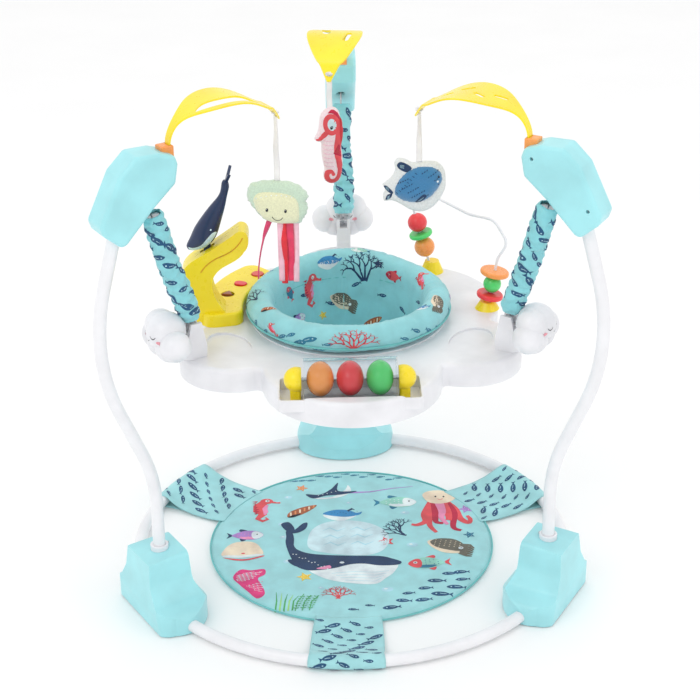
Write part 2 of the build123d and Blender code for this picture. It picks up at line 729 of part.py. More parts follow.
def whale():
    """Diving whale with a raised tail, on a stem that rocks in the wave."""
    with BuildPart() as body:
        count = len(WHALE_SPINE)
        for i, (x, z, radius) in enumerate(WHALE_SPINE):
            before, after = WHALE_SPINE[max(i - 1, 0)], WHALE_SPINE[min(i + 1, count - 1)]
            way = Vector(after[0] - before[0], 0, after[1] - before[1])
            with BuildSketch(Plane(origin=(x, WAVE_Y, z), x_dir=(0, 1, 0), z_dir=way)):
                Circle(radius)
        loft()
        # tail flukes
        with BuildSketch(Plane(origin=(-209, WAVE_Y, 738), x_dir=(0, 1, 0), z_dir=(0.94, 0, -0.34))):
            with BuildLine():
                edge = Spline((0, -3), (9, 6), (24, 24), (9, 16), (0, 12))
                mirror(edge, about=Plane.YZ)
            make_face()
        extrude(amount=2.5, both=True)
        # stem: two cheeks either side of nothing, bored for the pivot pin
        with BuildSketch(Plane(origin=(WHALE_PIVOT[0], WAVE_Y, 0), x_dir=(1, 0, 0), z_dir=(0, -1, 0))):
            with BuildLine():
                Polyline((-6, 606), (6, 606), (6, 640), (-6, 640), close=True)
            make_face()
        extrude(amount=4.5, both=True)
        with BuildSketch(Plane(origin=(WHALE_PIVOT[0], WAVE_Y - 10, WHALE_PIVOT[1]),
                               x_dir=(1, 0, 0), z_dir=(0, 1, 0))):
            Circle(2.0 + RUN)
        extrude(amount=20, mode=Mode.SUBTRACT)
    return body.part


# ---------------------------------------------------------------- seat
def seat_ring():
    """Ring that turns in the tray's hole; its flange carries the fabric seat."""
    outer, lip = SEAT_HOLE - SEAT_GAP, TRAY_Z0 - 3
    with BuildPart() as ring:
        with BuildSketch(Plane.XZ):
            with BuildLine():
                Polyline((outer - 4, lip), (outer + 3.5, lip), (outer + 3.5, lip + 2.8), (outer, lip + 2.8),
                         (outer, TRAY_Z1 + 0.1), (outer + 22, TRAY_Z1 + 0.1),
                         (outer + 22, TRAY_Z1 + 3), (outer - 4, TRAY_Z1 + 3), close=True)
            make_face()
        revolve(axis=Axis.Z)
    return ring.part


def seat_fabric():
    """Padded roll round the rim and the hanging bucket with two leg holes."""
    with BuildPart() as seat:
        with BuildSketch(Plane.XZ):
            with Locations((158, 507)):
                Circle(23)
            with BuildLine():
                Polyline((139, 505), (126, 420), (104, 345), (80, 322), (0, 318), (0, 322),
                         (78, 326), (100, 348), (121, 420), (133, 505), close=True)
            make_face()
        revolve(axis=Axis.Z)
        with BuildSketch(Plane(origin=(0, 0, 0), x_dir=(*unit(40), 0), z_dir=(unit(40)[1], -unit(40)[0], 0))):
            with Locations((155, 519)):
                Circle(24)
        revolve(axis=Axis.Z, revolution_arc=100)
        for x in (-52, 52):
            with BuildSketch(Plane(origin=(x, -60, 378), x_dir=(1, 0, 0), z_dir=(0, -1, 0))):
                Ellipse(36, 42)
            extrude(amount=120, mode=Mode.SUBTRACT)
    return seat.part


# ---------------------------------------------------------------- hanging toys
def ribbon(leg, length):
    """Flat ribbon from the arch's tip down to its toy."""
    with BuildPart() as strip:
        plane = arch_plane(leg, TOY_PIVOT[1] - length)
        with BuildSketch(plane):
            with Locations((TOY_PIVOT[0], 0)):
                Rectangle(0.9, 10)
        extrude(amount=length - 7)
    return strip.part


def facing(centre):
    """Upright plane at a point that faces the front."""
    return Plane(origin=centre, x_dir=(1, 0, 0), z_dir=(0, -1, 0))


def jellyfish(centre):
    with BuildPart() as toy:
        with BuildSketch(facing(centre)):
            with BuildLine():
                Spline((-50, -14), (-47, 10), (-26, 32), (0, 38), (26, 32), (47, 12), (51, -12),
                       (28, -33), (0, -38), (-28, -34), periodic=True)
            make_face()
        extrude(amount=15, both=True)
        fillet(toy.edges(), 10)
    return toy.part


def tentacles(centre):
    strips = []
    for x, length, width in ((-6, 95, 11), (6, 112, 11), (17, 104, 10), (28, 90, 9), (-20, 84, 9)):
        with BuildPart() as strip:
            with BuildSketch(Plane.XY.offset(centre.Z - 38.8 - length)):
                with Locations((centre.X + x, centre.Y)):
                    Rectangle(width, 0.9)
            extrude(amount=length)
        strips.append(strip.part)
    return strips


def seahorse(centre):
    with BuildPart() as toy:
        with BuildSketch(facing(centre)):
            with BuildLine():
                Spline((-20, 36), (-22, 44), (-8, 50), (-2, 64), (10, 73), (20, 66), (23, 50), (20, 34),
                       (23, 12), (18, -10), (12, -30), (10, -46), (0, -62), (-10, -68), (-8, -56),
                       (-12, -36), (-20, -12), (-20, 8), (-10, 24), (-8, 34), periodic=True)
            make_face()
        extrude(amount=12, both=True)
    return toy.part


def puffer(centre):
    with BuildPart() as toy:
        with BuildSketch(facing(centre)):
            with BuildLine():
                Spline((-53, 0), (-40, 16), (-26, 30), (-16, 42), (4, 42), (28, 36), (46, 20), (52, 4),
                       (44, -18), (24, -38), (0, -44), (-20, -36), (-34, -20), (-50, -18), periodic=True)
            make_face()
        extrude(amount=17, both=True)
        fillet(toy.edges(), 5)
    return toy.part


# ---------------------------------------------------------------- write every sub-part
screws, pads, plates, collars, pins, springs, sleeves, sockets, brackets = ([] for _ in range(9))
for leg, azimuth in LEGS.items():
    save(foot(azimuth), f"foot_{leg}")
    save(upright(azimuth), f"upright_{leg}")
    save(housing_half(azimuth, Keep.TOP), f"housing_{leg}_a")
    save(housing_half(azimuth, Keep.BOTTOM), f"housing_{leg}_b")
    save(arch(leg), f"arch_{leg}")
    save(cloud(azimuth), f"cloud_{leg}")
    plates.append(foot_plate(azimuth))
    pads += foot_pads(azimuth)
    collars.append(collar(azimuth))
    pins.append(anchor_pin(azimuth))
    screws += [collar_screw(azimuth), *housing_screws(azimuth)]
    springs.append(spring(azimuth))
    sleeves.append(sleeve(azimuth))
    sockets.append(arch_socket(leg))
    brackets.append(spring_bracket(azimuth))

group(plates, "foot_base_plates")
group(pads, "foot_pads")
group(collars, "upright_collars")
group(pins, "spring_anchor_pins")
group(screws, "frame_screws")
group(springs, "bounce_springs")
group(sleeves, "spring_sleeves")
group(sockets, "arch_sockets")
group(brackets, "spring_hook_brackets")

for name, start in (("front", 210.0), ("right", -30.0), ("left", 90.0)):
    tube = ring_tube(start + RING_GAP_ANGLE, start + 120 - RING_GAP_ANGLE, TUBE_R, TUBE_R - TUBE_WALL)
    save(tube, f"base_tube_{name}")

save(play_mat(), "play_mat")
save(tray_top(), "tray_top")
save(tray_bottom(), "tray_bottom")
group([tray_screw(r, a) for r, a in BOSSES], "tray_screws")

group([drum_bracket(-1), drum_bracket(1)], "drum_brackets")
save(rod((DRUM_X - 91, DRUM_Y, DRUM_Z), (DRUM_X + 91, DRUM_Y, DRUM_Z), AXLE_R), "drum_axle")
save(drum_shell(), "drum_shell")
group([drum_ball(DRUM_X + dx) for dx in (-49, 0, 49)], "drum_balls")

group([bead_post(TOWER_BASE, TOWER_DIR, 22), bead_post(STACK_BASE, STACK_DIR, 14)], "bead_posts")
save(bead_wire(), "bead_wire")
save(bead("ball", on_tower(52), TOWER_DIR, 19), "bead_orange_ball")
save(bead("disc", on_tower(79), TOWER_DIR, 22, 9), "bead_green_disc")
save(bead("ball", on_tower(103), TOWER_DIR, 18), "bead_red_ball")
save(bead("disc", on_stack(25.5), STACK_DIR, 24, 10), "bead_red_disc")
save(bead("ball", on_stack(47.5), STACK_DIR, 16), "bead_green_ball")
save(bead("disc", on_stack(70), STACK_DIR, 26, 9), "bead_orange_disc")

save(wave_toy(), "wave_toy_base")
for name, (azimuth, r) in zip(BUTTON_NAMES, BUTTON_SPOTS):
    save(button(azimuth, r), name)
save(whale(), "whale")

save(seat_ring(), "seat_ring")
save(seat_fabric(), "seat_fabric")

JELLY, PUFF, HORSE = Vector(-119.5, -69, 724), Vector(117, -69, 748), Vector(-28, 139.7, 750)
save(ribbon("left", 876 - 763), "jellyfish_ribbon")
save(jellyfish(JELLY), "jellyfish_plush")
group(tentacles(JELLY), "jellyfish_tentacles")
save(ribbon("right", 876 - 791), "puffer_ribbon")
save(puffer(PUFF), "puffer_plush")
save(ribbon("rear", 876 - 824), "seahorse_ribbon")
save(seahorse(HORSE), "seahorse_plush")
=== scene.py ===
"""Activity jumper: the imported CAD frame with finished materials, sewn parts and prints."""
import json
from math import cos, pi, radians, sin, sqrt, tau

import bmesh
import bpy
from mathutils import Matrix, Vector, geometry, noise
from mathutils.bvhtree import BVHTree
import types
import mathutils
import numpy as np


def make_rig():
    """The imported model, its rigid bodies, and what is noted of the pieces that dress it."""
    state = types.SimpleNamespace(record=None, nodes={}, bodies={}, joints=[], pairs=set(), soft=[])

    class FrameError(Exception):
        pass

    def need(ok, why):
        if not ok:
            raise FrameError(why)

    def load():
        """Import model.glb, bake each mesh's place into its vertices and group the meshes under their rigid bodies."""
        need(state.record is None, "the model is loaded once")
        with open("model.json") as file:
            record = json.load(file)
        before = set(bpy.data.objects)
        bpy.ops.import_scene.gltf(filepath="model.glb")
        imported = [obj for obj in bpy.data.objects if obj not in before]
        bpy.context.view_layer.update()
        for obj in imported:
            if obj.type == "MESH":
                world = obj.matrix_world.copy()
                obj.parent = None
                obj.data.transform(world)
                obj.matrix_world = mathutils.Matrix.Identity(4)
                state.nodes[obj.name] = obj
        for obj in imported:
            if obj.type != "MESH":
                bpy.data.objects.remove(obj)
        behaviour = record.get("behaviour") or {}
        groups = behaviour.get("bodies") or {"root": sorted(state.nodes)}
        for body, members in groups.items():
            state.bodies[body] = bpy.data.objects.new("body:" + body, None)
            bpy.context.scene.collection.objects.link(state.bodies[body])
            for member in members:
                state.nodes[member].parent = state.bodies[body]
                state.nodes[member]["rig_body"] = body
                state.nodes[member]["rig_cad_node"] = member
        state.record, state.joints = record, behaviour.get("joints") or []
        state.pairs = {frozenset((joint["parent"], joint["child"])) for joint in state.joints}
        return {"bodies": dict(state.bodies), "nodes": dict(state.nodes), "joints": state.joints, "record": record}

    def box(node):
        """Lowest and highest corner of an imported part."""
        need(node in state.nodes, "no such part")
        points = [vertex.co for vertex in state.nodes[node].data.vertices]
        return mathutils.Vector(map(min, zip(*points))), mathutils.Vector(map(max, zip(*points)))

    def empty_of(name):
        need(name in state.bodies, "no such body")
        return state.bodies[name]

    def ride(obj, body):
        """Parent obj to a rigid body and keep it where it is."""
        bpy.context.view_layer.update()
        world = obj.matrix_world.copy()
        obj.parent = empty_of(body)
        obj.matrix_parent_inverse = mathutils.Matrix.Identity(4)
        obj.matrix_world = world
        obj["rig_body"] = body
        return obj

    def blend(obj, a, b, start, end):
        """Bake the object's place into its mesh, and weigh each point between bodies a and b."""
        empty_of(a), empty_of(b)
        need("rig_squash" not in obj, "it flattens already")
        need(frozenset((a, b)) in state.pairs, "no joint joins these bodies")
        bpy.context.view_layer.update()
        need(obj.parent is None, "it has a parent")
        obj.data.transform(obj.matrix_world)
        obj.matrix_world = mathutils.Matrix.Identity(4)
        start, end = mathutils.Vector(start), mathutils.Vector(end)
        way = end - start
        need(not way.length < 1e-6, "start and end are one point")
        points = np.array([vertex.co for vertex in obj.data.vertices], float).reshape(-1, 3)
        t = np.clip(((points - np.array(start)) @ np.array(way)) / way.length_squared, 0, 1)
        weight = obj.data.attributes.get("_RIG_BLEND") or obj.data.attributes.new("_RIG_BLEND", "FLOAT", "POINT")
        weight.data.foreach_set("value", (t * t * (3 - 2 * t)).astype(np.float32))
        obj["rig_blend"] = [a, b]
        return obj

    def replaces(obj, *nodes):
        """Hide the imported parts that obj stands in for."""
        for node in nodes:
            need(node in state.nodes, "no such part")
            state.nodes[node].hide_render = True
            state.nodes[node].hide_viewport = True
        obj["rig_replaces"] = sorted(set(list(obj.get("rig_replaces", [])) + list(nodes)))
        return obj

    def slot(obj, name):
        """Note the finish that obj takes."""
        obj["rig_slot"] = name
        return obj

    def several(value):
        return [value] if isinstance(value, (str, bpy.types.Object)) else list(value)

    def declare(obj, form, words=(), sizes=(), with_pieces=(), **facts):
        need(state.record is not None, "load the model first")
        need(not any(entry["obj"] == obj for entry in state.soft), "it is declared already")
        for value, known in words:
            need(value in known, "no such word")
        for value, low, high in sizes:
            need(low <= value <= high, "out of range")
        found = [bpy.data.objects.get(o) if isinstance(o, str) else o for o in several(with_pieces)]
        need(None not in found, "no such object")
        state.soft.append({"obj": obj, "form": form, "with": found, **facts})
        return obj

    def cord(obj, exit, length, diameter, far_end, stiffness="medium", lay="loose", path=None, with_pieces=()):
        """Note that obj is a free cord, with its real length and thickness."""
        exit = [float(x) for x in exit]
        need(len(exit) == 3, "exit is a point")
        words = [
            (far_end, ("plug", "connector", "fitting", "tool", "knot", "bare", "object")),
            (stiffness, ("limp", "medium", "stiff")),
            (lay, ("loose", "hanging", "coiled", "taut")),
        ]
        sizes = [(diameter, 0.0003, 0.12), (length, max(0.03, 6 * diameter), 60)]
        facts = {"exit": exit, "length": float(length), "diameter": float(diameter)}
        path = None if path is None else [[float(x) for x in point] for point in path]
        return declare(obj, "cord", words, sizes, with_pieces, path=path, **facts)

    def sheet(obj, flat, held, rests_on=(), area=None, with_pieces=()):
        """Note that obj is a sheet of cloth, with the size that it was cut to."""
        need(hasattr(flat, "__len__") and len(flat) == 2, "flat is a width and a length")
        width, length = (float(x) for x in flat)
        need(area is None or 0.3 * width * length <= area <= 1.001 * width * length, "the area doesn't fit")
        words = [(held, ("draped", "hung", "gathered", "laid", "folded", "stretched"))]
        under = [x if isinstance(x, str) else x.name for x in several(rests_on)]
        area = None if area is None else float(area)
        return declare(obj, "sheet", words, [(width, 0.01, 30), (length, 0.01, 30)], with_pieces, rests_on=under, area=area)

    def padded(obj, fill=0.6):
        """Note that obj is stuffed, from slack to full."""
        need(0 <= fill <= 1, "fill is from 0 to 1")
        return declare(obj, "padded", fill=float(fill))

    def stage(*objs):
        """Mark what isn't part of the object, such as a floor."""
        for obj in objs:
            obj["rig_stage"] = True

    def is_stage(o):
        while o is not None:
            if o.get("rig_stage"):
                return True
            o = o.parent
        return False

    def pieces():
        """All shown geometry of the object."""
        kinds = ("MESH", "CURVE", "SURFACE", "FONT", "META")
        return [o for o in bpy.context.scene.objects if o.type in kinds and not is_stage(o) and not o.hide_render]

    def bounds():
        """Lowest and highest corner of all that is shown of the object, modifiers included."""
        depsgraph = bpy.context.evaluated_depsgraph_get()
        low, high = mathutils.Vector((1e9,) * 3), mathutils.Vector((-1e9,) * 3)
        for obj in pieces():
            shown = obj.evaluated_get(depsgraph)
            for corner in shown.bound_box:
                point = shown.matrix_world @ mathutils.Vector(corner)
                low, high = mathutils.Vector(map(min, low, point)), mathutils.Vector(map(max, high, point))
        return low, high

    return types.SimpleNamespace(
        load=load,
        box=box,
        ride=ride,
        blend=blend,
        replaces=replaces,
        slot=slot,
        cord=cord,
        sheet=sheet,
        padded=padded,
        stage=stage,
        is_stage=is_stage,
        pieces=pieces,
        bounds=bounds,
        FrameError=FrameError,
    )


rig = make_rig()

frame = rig.load()
cad_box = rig.bounds()
nodes = frame["nodes"]

# driving sizes, in metres, as in the CAD model
LEGS = {"rear": 90.0, "left": 210.0, "right": -30.0}
RING_R = 0.400
MAT_R = 0.268
STRAPS = {267.0: 9.3, 27.5: 10.5, 146.5: 10.5}
SLEEVE_TOP, SLEEVE_BOTTOM = (0.374, 0.753), (0.313, 0.553)
ARCH_ROOT_R, ARCH_REACH, TIP_Z = 0.334, 0.196, 0.876
ARCH_YAW = {"rear": -7.6, "left": 0.0, "right": 0.0}
CLOUD_R, CLOUD_Z = 0.360, 0.531
SLEEVE_R = 0.0185
SLEEVE_FIXED, SLEEVE_MOVING = (0, 0, 0.745), (0, 0, 0.56)  # where a sleeve starts and ends to stretch
LEG_X, LEG_Z, LEG_HALF_WIDTH, LEG_HALF_HEIGHT = 0.052, 0.378, 0.034, 0.040
REAR_LIFT = 0.0125  # how much higher the back of the seat's roll stands
WAVE_Y = -0.006
CAMERA_PLACE, LENS, SENSOR = (-0.07618, -2.88557, 1.798), 91.23, 36.0


def unit(azimuth):
    return Vector((cos(radians(azimuth)), sin(radians(azimuth)), 0))


def across(azimuth):
    return Vector((-sin(radians(azimuth)), cos(radians(azimuth)), 0))


def at(azimuth, r, z, t=0.0):
    """Point at a radius, a height and a tangential offset."""
    return unit(azimuth) * r + across(azimuth) * t + Vector((0, 0, z))


# ---------------------------------------------------------------- materials
def linear(rgb):
    """Scene colour of an sRGB colour given from 0 to 255."""
    return [((c / 255 + 0.055) / 1.055) ** 2.4 if c > 10 else c / 3294 for c in rgb] + [1.0]


class Nodes:
    """Small helper that adds and links shader nodes."""

    def __init__(self, name):
        self.material = bpy.data.materials.new(name)
        self.material.use_nodes = True
        self.tree = self.material.node_tree
        self.shader = self.tree.nodes["Principled BSDF"]
        self.place = self.tree.nodes.new("ShaderNodeTexCoord").outputs["Object"]

    def add(self, kind, **inputs):
        node = self.tree.nodes.new(kind)
        for key, value in inputs.items():
            socket = node.inputs[key.replace("_", " ")]
            if isinstance(value, bpy.types.NodeSocket):
                self.tree.links.new(value, socket)
            else:
                socket.default_value = value
        return node

    def noise(self, scale, detail=3.0):
        return self.add("ShaderNodeTexNoise", Vector=self.place, Scale=scale, Detail=detail)

    def ramp(self, value, low, high, start=0.35, end=0.65):
        node = self.tree.nodes.new("ShaderNodeValToRGB")
        node.color_ramp.elements[0].position = start
        node.color_ramp.elements[1].position = end
        node.color_ramp.elements[0].color = low
        node.color_ramp.elements[1].color = high
        self.tree.links.new(value, node.inputs["Fac"])
        return node.outputs["Color"]

    def spread(self, value, low, high):
        node = self.add("ShaderNodeMapRange", Value=value)
        node.inputs["To Min"].default_value = low
        node.inputs["To Max"].default_value = high
        return node.outputs["Result"]

    def feed(self, name, value):
        socket = self.shader.inputs[name]
        if isinstance(value, bpy.types.NodeSocket):
            self.tree.links.new(value, socket)
        else:
            socket.default_value = value

    def bump(self, height, strength, distance):
        node = self.add("ShaderNodeBump", Height=height, Strength=strength, Distance=distance)
        self.feed("Normal", node.outputs["Normal"])


def shade(rgb, amount):
    return [max(0.0, min(255.0, c * amount)) for c in rgb]


def hard_finish(name, rgb, clouds, tints, gloss, rough, grain, **extras):
    """Uneven colour between two tints, uneven gloss and fine grain; each noise is (scale, detail)."""
    n = Nodes(name)
    dark, light = (linear(shade(rgb, tint)) for tint in tints)
    n.feed("Base Color", n.ramp(n.noise(*clouds).outputs["Fac"], dark, light))
    n.feed("Roughness", n.spread(n.noise(*gloss).outputs["Fac"], *rough))
    for socket, value in extras.items():
        n.feed(socket.replace("_", " "), value)
    scale, detail, strength, distance = grain
    n.bump(n.noise(scale, detail).outputs["Fac"], strength, distance)
    return n.material


def plastic(name, rgb, rough=0.32, glow=0.12):
    """Moulded plastic with a little light passing under its skin."""
    return hard_finish(name, rgb, (14, 4), (0.965, 1.02), (90, 3), (rough - 0.06, rough + 0.08),
            (1400, 2, 0.06, 0.0004), Subsurface_Weight=glow, Subsurface_Radius=(0.01, 0.01, 0.01),
            Subsurface_Scale=0.4, Coat_Weight=0.15, Coat_Roughness=0.15)


def powder_coat(name, rgb):
    return hard_finish(name, rgb, (25, 4), (0.975, 1), (300, 3), (0.28, 0.42), (900, 4, 0.12, 0.0003),
            Coat_Weight=0.3)


def brushed_metal(name, rgb):
    return hard_finish(name, rgb, (200, 4), (0.85, 1), (500, 4), (0.22, 0.42), (1200, 2, 0.08, 0.0002),
            Metallic=1.0)


def rubber(name, rgb):
    return hard_finish(name, rgb, (120, 4), (0.85, 1), (400, 3.0), (0.6, 0.8), (900, 3.0, 0.2, 0.0004))


def clear_plastic(name):
    n = Nodes(name)
    n.feed("Base Color", linear((250, 253, 255)))
    n.feed("Transmission Weight", 1.0)
    n.feed("IOR", 1.2)
    n.feed("Roughness", n.spread(n.noise(60).outputs["Fac"], 0.0, 0.04))
    n.bump(n.noise(30, 2).outputs["Fac"], 0.04, 0.001)
    return n.material


def cloth(name, rgb, weave=900.0, rough=0.8, sheen=0.25, wrinkle=0.25, mottle=0.04):
    """Woven polyester: two crossed bands of thread, soft wrinkles and slightly uneven dye."""
    n = Nodes(name)
    warp = n.add("ShaderNodeTexWave", Vector=n.place, Scale=weave, Distortion=1.5)
    weft = n.add("ShaderNodeTexWave", Vector=n.place, Scale=weave, Distortion=1.5)
    warp.bands_direction = "X"
    weft.bands_direction = "Y"
    threads = n.add("ShaderNodeMath")
    threads.operation = "MULTIPLY"
    n.tree.links.new(warp.outputs["Fac"], threads.inputs[0])
    n.tree.links.new(weft.outputs["Fac"], threads.inputs[1])
    folds = n.add("ShaderNodeMath")
    folds.operation = "MULTIPLY_ADD"
    n.tree.links.new(n.noise(45, 3).outputs["Fac"], folds.inputs[0])
    folds.inputs[1].default_value = wrinkle * 8
    n.tree.links.new(threads.outputs[0], folds.inputs[2])
    dye = n.noise(30, 5).outputs["Fac"]
    n.feed("Base Color", n.ramp(dye, linear(shade(rgb, 1 - mottle)), linear(shade(rgb, 1 + mottle / 2))))
    n.feed("Roughness", n.spread(n.noise(150).outputs["Fac"], rough - 0.08, min(1.0, rough + 0.08)))
    n.feed("Sheen Weight", sheen)
    n.feed("Sheen Roughness", 0.45)
    n.bump(folds.outputs[0], 0.35, 0.0006)
    return n.material


def plush(name, rgb, pile=260.0):
    """Short pile: clumped fibres, strong sheen and soft colour change."""
    n = Nodes(name)
    fibres = n.noise(pile * 3, 6).outputs["Fac"]
    n.feed("Base Color", n.ramp(n.noise(pile * 1.4, 5).outputs["Fac"], linear(shade(rgb, 0.95)),
            linear(shade(rgb, 1.01))))
    n.feed("Roughness", n.spread(fibres, 0.75, 1.0))
    n.feed("Sheen Weight", 0.6)
    n.feed("Sheen Roughness", 0.6)
    n.bump(fibres, 0.6, 0.0012)
    return n.material


def satin(name, rgb):
    n = Nodes(name)
    threads = n.add("ShaderNodeTexWave", Vector=n.place, Scale=1200.0, Distortion=0.6)
    threads.bands_direction = "X"
    n.feed("Base Color", n.ramp(n.noise(60, 4).outputs["Fac"], linear(shade(rgb, 0.94)),
            linear(shade(rgb, 1.05))))
    n.feed("Roughness", n.spread(n.noise(200).outputs["Fac"], 0.28, 0.42))
    n.feed("Sheen Weight", 0.3)
    n.bump(threads.outputs["Fac"], 0.15, 0.0003)
    return n.material


AQUA, WHITE, YELLOW = (164, 228, 234), (234, 234, 238), (254, 226, 28)
ORANGE, RED, GREEN = (255, 160, 82), (240, 62, 68), (84, 214, 112)
NAVY, TEAL, SEAT_TEAL = (22, 44, 84), (168, 225, 229), (152, 218, 225)

aqua = plastic("aqua_plastic", AQUA, 0.34)
white = plastic("white_plastic", WHITE, 0.3, 0.2)
yellow = plastic("yellow_plastic", YELLOW, 0.28)
orange = plastic("orange_plastic", ORANGE, 0.25)
red = plastic("red_plastic", RED, 0.22)
green = plastic("green_plastic", GREEN, 0.22)
brown = plastic("brown_plastic", (150, 84, 48), 0.3)
coral_red = plastic("coral_plastic", (226, 84, 70), 0.3)
navy = plastic("navy_plastic", NAVY, 0.38)
tube_white = powder_coat("white_tube", (240, 240, 243))
steel = brushed_metal("zinc_steel", (196, 198, 202))
grey_rubber = rubber("grey_rubber", (96, 98, 100))
clear = clear_plastic("clear_plastic")
teal_cloth = cloth("teal_cloth", TEAL)
seat_cloth = cloth("seat_cloth", SEAT_TEAL)
piping_cloth = cloth("piping_cloth", (118, 202, 202), weave=1400)
ribbon_cloth = cloth("white_ribbon", (246, 244, 244), weave=1500, wrinkle=0.1)

NODE_MATERIALS = {"foot_": aqua, "foot_base_plates": aqua, "foot_pads": grey_rubber, "upright_": tube_white,
        "upright_collars": white, "base_tube_": tube_white, "housing_": aqua, "arch_": yellow,
        "arch_sockets": orange, "spring_anchor_pins": steel, "frame_screws": steel, "bounce_springs": steel,
        "tray_": white, "tray_screws": steel, "spring_hook_brackets": white, "cloud_": white,
        "drum_brackets": yellow, "drum_axle": steel, "drum_shell": clear, "bead_posts": yellow,
        "bead_wire": white, "bead_orange_ball": orange, "bead_green_disc": green, "bead_red_ball": red,
        "bead_red_disc": red, "bead_green_ball": green, "bead_orange_disc": orange, "wave_toy_base": yellow,
        "button_brown": brown, "button_red": red, "button_coral": coral_red, "whale": navy,
        "seat_ring": white, "play_mat": teal_cloth, "seat_fabric": seat_cloth, "spring_sleeves": teal_cloth, }


def dress(name, *materials):
    node = nodes[name]
    node.data.materials.clear()
    for material in materials:
        node.data.materials.append(material)


for name in nodes:
    matches = [key for key in NODE_MATERIALS if name.startswith(key)]
    if matches:
        dress(name, NODE_MATERIALS[max(matches, key=len)])
    for polygon in nodes[name].data.polygons:
        polygon.material_index = 0

# three balls of different colours in one node, split by their place along the drum
dress("drum_balls", orange, red, green)
ball_mesh = nodes["drum_balls"].data
low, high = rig.box("drum_balls")
for polygon in ball_mesh.polygons:
    share = (polygon.center.x - low.x) / (high.x - low.x)
    polygon.material_index = min(2, int(share * 3))

# ---------------------------------------------------------------- camera, light, floor
YAW, PITCH, ROLL = 0.0269855, 0.448191, -0.0118505
ahead = Vector((sin(YAW) * cos(PITCH), cos(YAW) * cos(PITCH), -sin(PITCH)))
level = Vector((cos(YAW), -sin(YAW), 0))
upward = level.cross(ahead)
right = level * cos(ROLL) + upward * sin(ROLL)
up = upward * cos(ROLL) - level * sin(ROLL)
camera = bpy.data.objects.new("camera", bpy.data.cameras.new("camera"))
camera.data.sensor_width = SENSOR
camera.data.lens = LENS
camera.data.clip_end = 50
turn = Matrix((right, up, -ahead)).transposed().to_4x4()
camera.matrix_world = Matrix.Translation(CAMERA_PLACE) @ turn
bpy.context.scene.collection.objects.link(camera)
bpy.context.scene.camera = camera
bpy.context.scene.view_settings.view_transform = "Standard"


def area_light(name, place, target, size, power):
    data = bpy.data.lights.new(name, "AREA")
    data.shape = "DISK"
    data.size = size
    data.energy = power
    light = bpy.data.objects.new(name, data)
    light.location = place
    light.rotation_euler = (Vector(target) - Vector(place)).to_track_quat("-Z", "Y").to_euler()
    bpy.context.scene.collection.objects.link(light)


area_light("key", (-1.6, -2.2, 2.9), (0, 0, 0.5), 1.6, 13)
area_light("fill", (2.4, -1.6, 1.9), (0, 0, 0.45), 2.2, 5)
area_light("top", (0.2, 0.8, 3.2), (0, 0, 0.4), 2.5, 7)
world = bpy.data.worlds.new("studio")
world.use_nodes = True
world.node_tree.nodes["Background"].inputs["Color"].default_value = (1, 1, 1, 1)
world.node_tree.nodes["Background"].inputs["Strength"].default_value = 0.98
bpy.context.scene.world = world


def new_object(name, mesh, body, slot=None):
    """Links a mesh as a piece that rides on a body."""
    piece = bpy.data.objects.new(name, mesh)
    bpy.context.scene.collection.objects.link(piece)
    mesh.polygons.foreach_set("use_smooth", [True] * len(mesh.polygons))
    if body:
        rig.ride(piece, body)
    if slot:
        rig.slot(piece, slot)
    return piece


def ring_faces(count, around, start=0, closed=False):
    """Quads from each ring of points to the next; closed joins the last ring to the first."""
    faces, rings = [], count if closed else count + 1
    for i in range(count):
        a, b = start + i * around, start + (i + 1) % rings * around
        faces += [(a + j, b + j, b + (j + 1) % around, a + (j + 1) % around) for j in range(around)]
    return faces


def turned(faces):
    """The same faces, looking the other way."""
    return [face[:1] + face[:0:-1] for face in faces]


def mesh_from(name, points, faces, *materials):
    mesh = bpy.data.meshes.new(name)
    mesh.from_pydata([tuple(p) for p in points], [], faces)
    mesh.update()
    for material in materials:
        mesh.materials.append(material)
    return mesh


floor_nodes = Nodes("floor")
floor_nodes.feed("Base Color", floor_nodes.ramp(floor_nodes.noise(3).outputs["Fac"], (0.97, 0.97, 0.97, 1),
        (0.985, 0.985, 0.985, 1)))
floor_nodes.feed("Roughness", 0.9)
size = 30.0
floor_mesh = mesh_from("floor", [(-size, -size, -0.0006), (size, -size, -0.0006), (size, size, -0.0006),
        (-size, size, -0.0006)], [(0, 1, 2, 3)], floor_nodes.material)
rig.stage(new_object("floor", floor_mesh, None))


# ---------------------------------------------------------------- prints: flat shapes laid on curved cloth
# the deep yellow ink (226, 164, 24) is painted shade for the wave toy's furrow; the other inks are print colours
INKS = {"navy": (33, 62, 100), "white": (236, 244, 250), "coral": (236, 84, 92), "pink": (246, 150, 190),
        "crimson": (196, 34, 70), "purple": (186, 140, 214), "green": (86, 178, 100),
        "lime": (170, 226, 130), "brown": (176, 96, 62), "grey": (112, 108, 96), "yellow": (250, 208, 74),
        "orange": (238, 150, 96), "blue": (58, 142, 200), "mint": (158, 222, 206), "cream": (250, 226, 200),
        "sky": (184, 226, 238), "foam": (214, 238, 246), "teal": (46, 128, 160), "marine": (34, 84, 124),
        "amber": (226, 164, 24), "magenta": (234, 62, 132), "black": (30, 34, 44), "blush": (250, 168, 180), }
ink_cache = {}


def ink(name):
    """Dye printed into the weave: the cloth's thread relief with a little colour loss. The deep yellow ink (226, 164,
    24) is painted shade, not print: it darkens the wave toy's furrow.
    """
    if name not in ink_cache:
        ink_cache[name] = cloth("ink_" + name, INKS[name], weave=1100, wrinkle=0.12, mottle=0.09, sheen=0.15)
    return ink_cache[name]


def between(p0, p1, p2, p3, t):
    """Catmull-Rom point at share t of the way from p1 to p2."""
    square, cube = 2 * p0 - 5 * p1 + 4 * p2 - p3, 3 * p1 - p0 - 3 * p2 + p3
    return 0.5 * (2 * p1 + (p2 - p0) * t + square * t * t + cube * t ** 3)


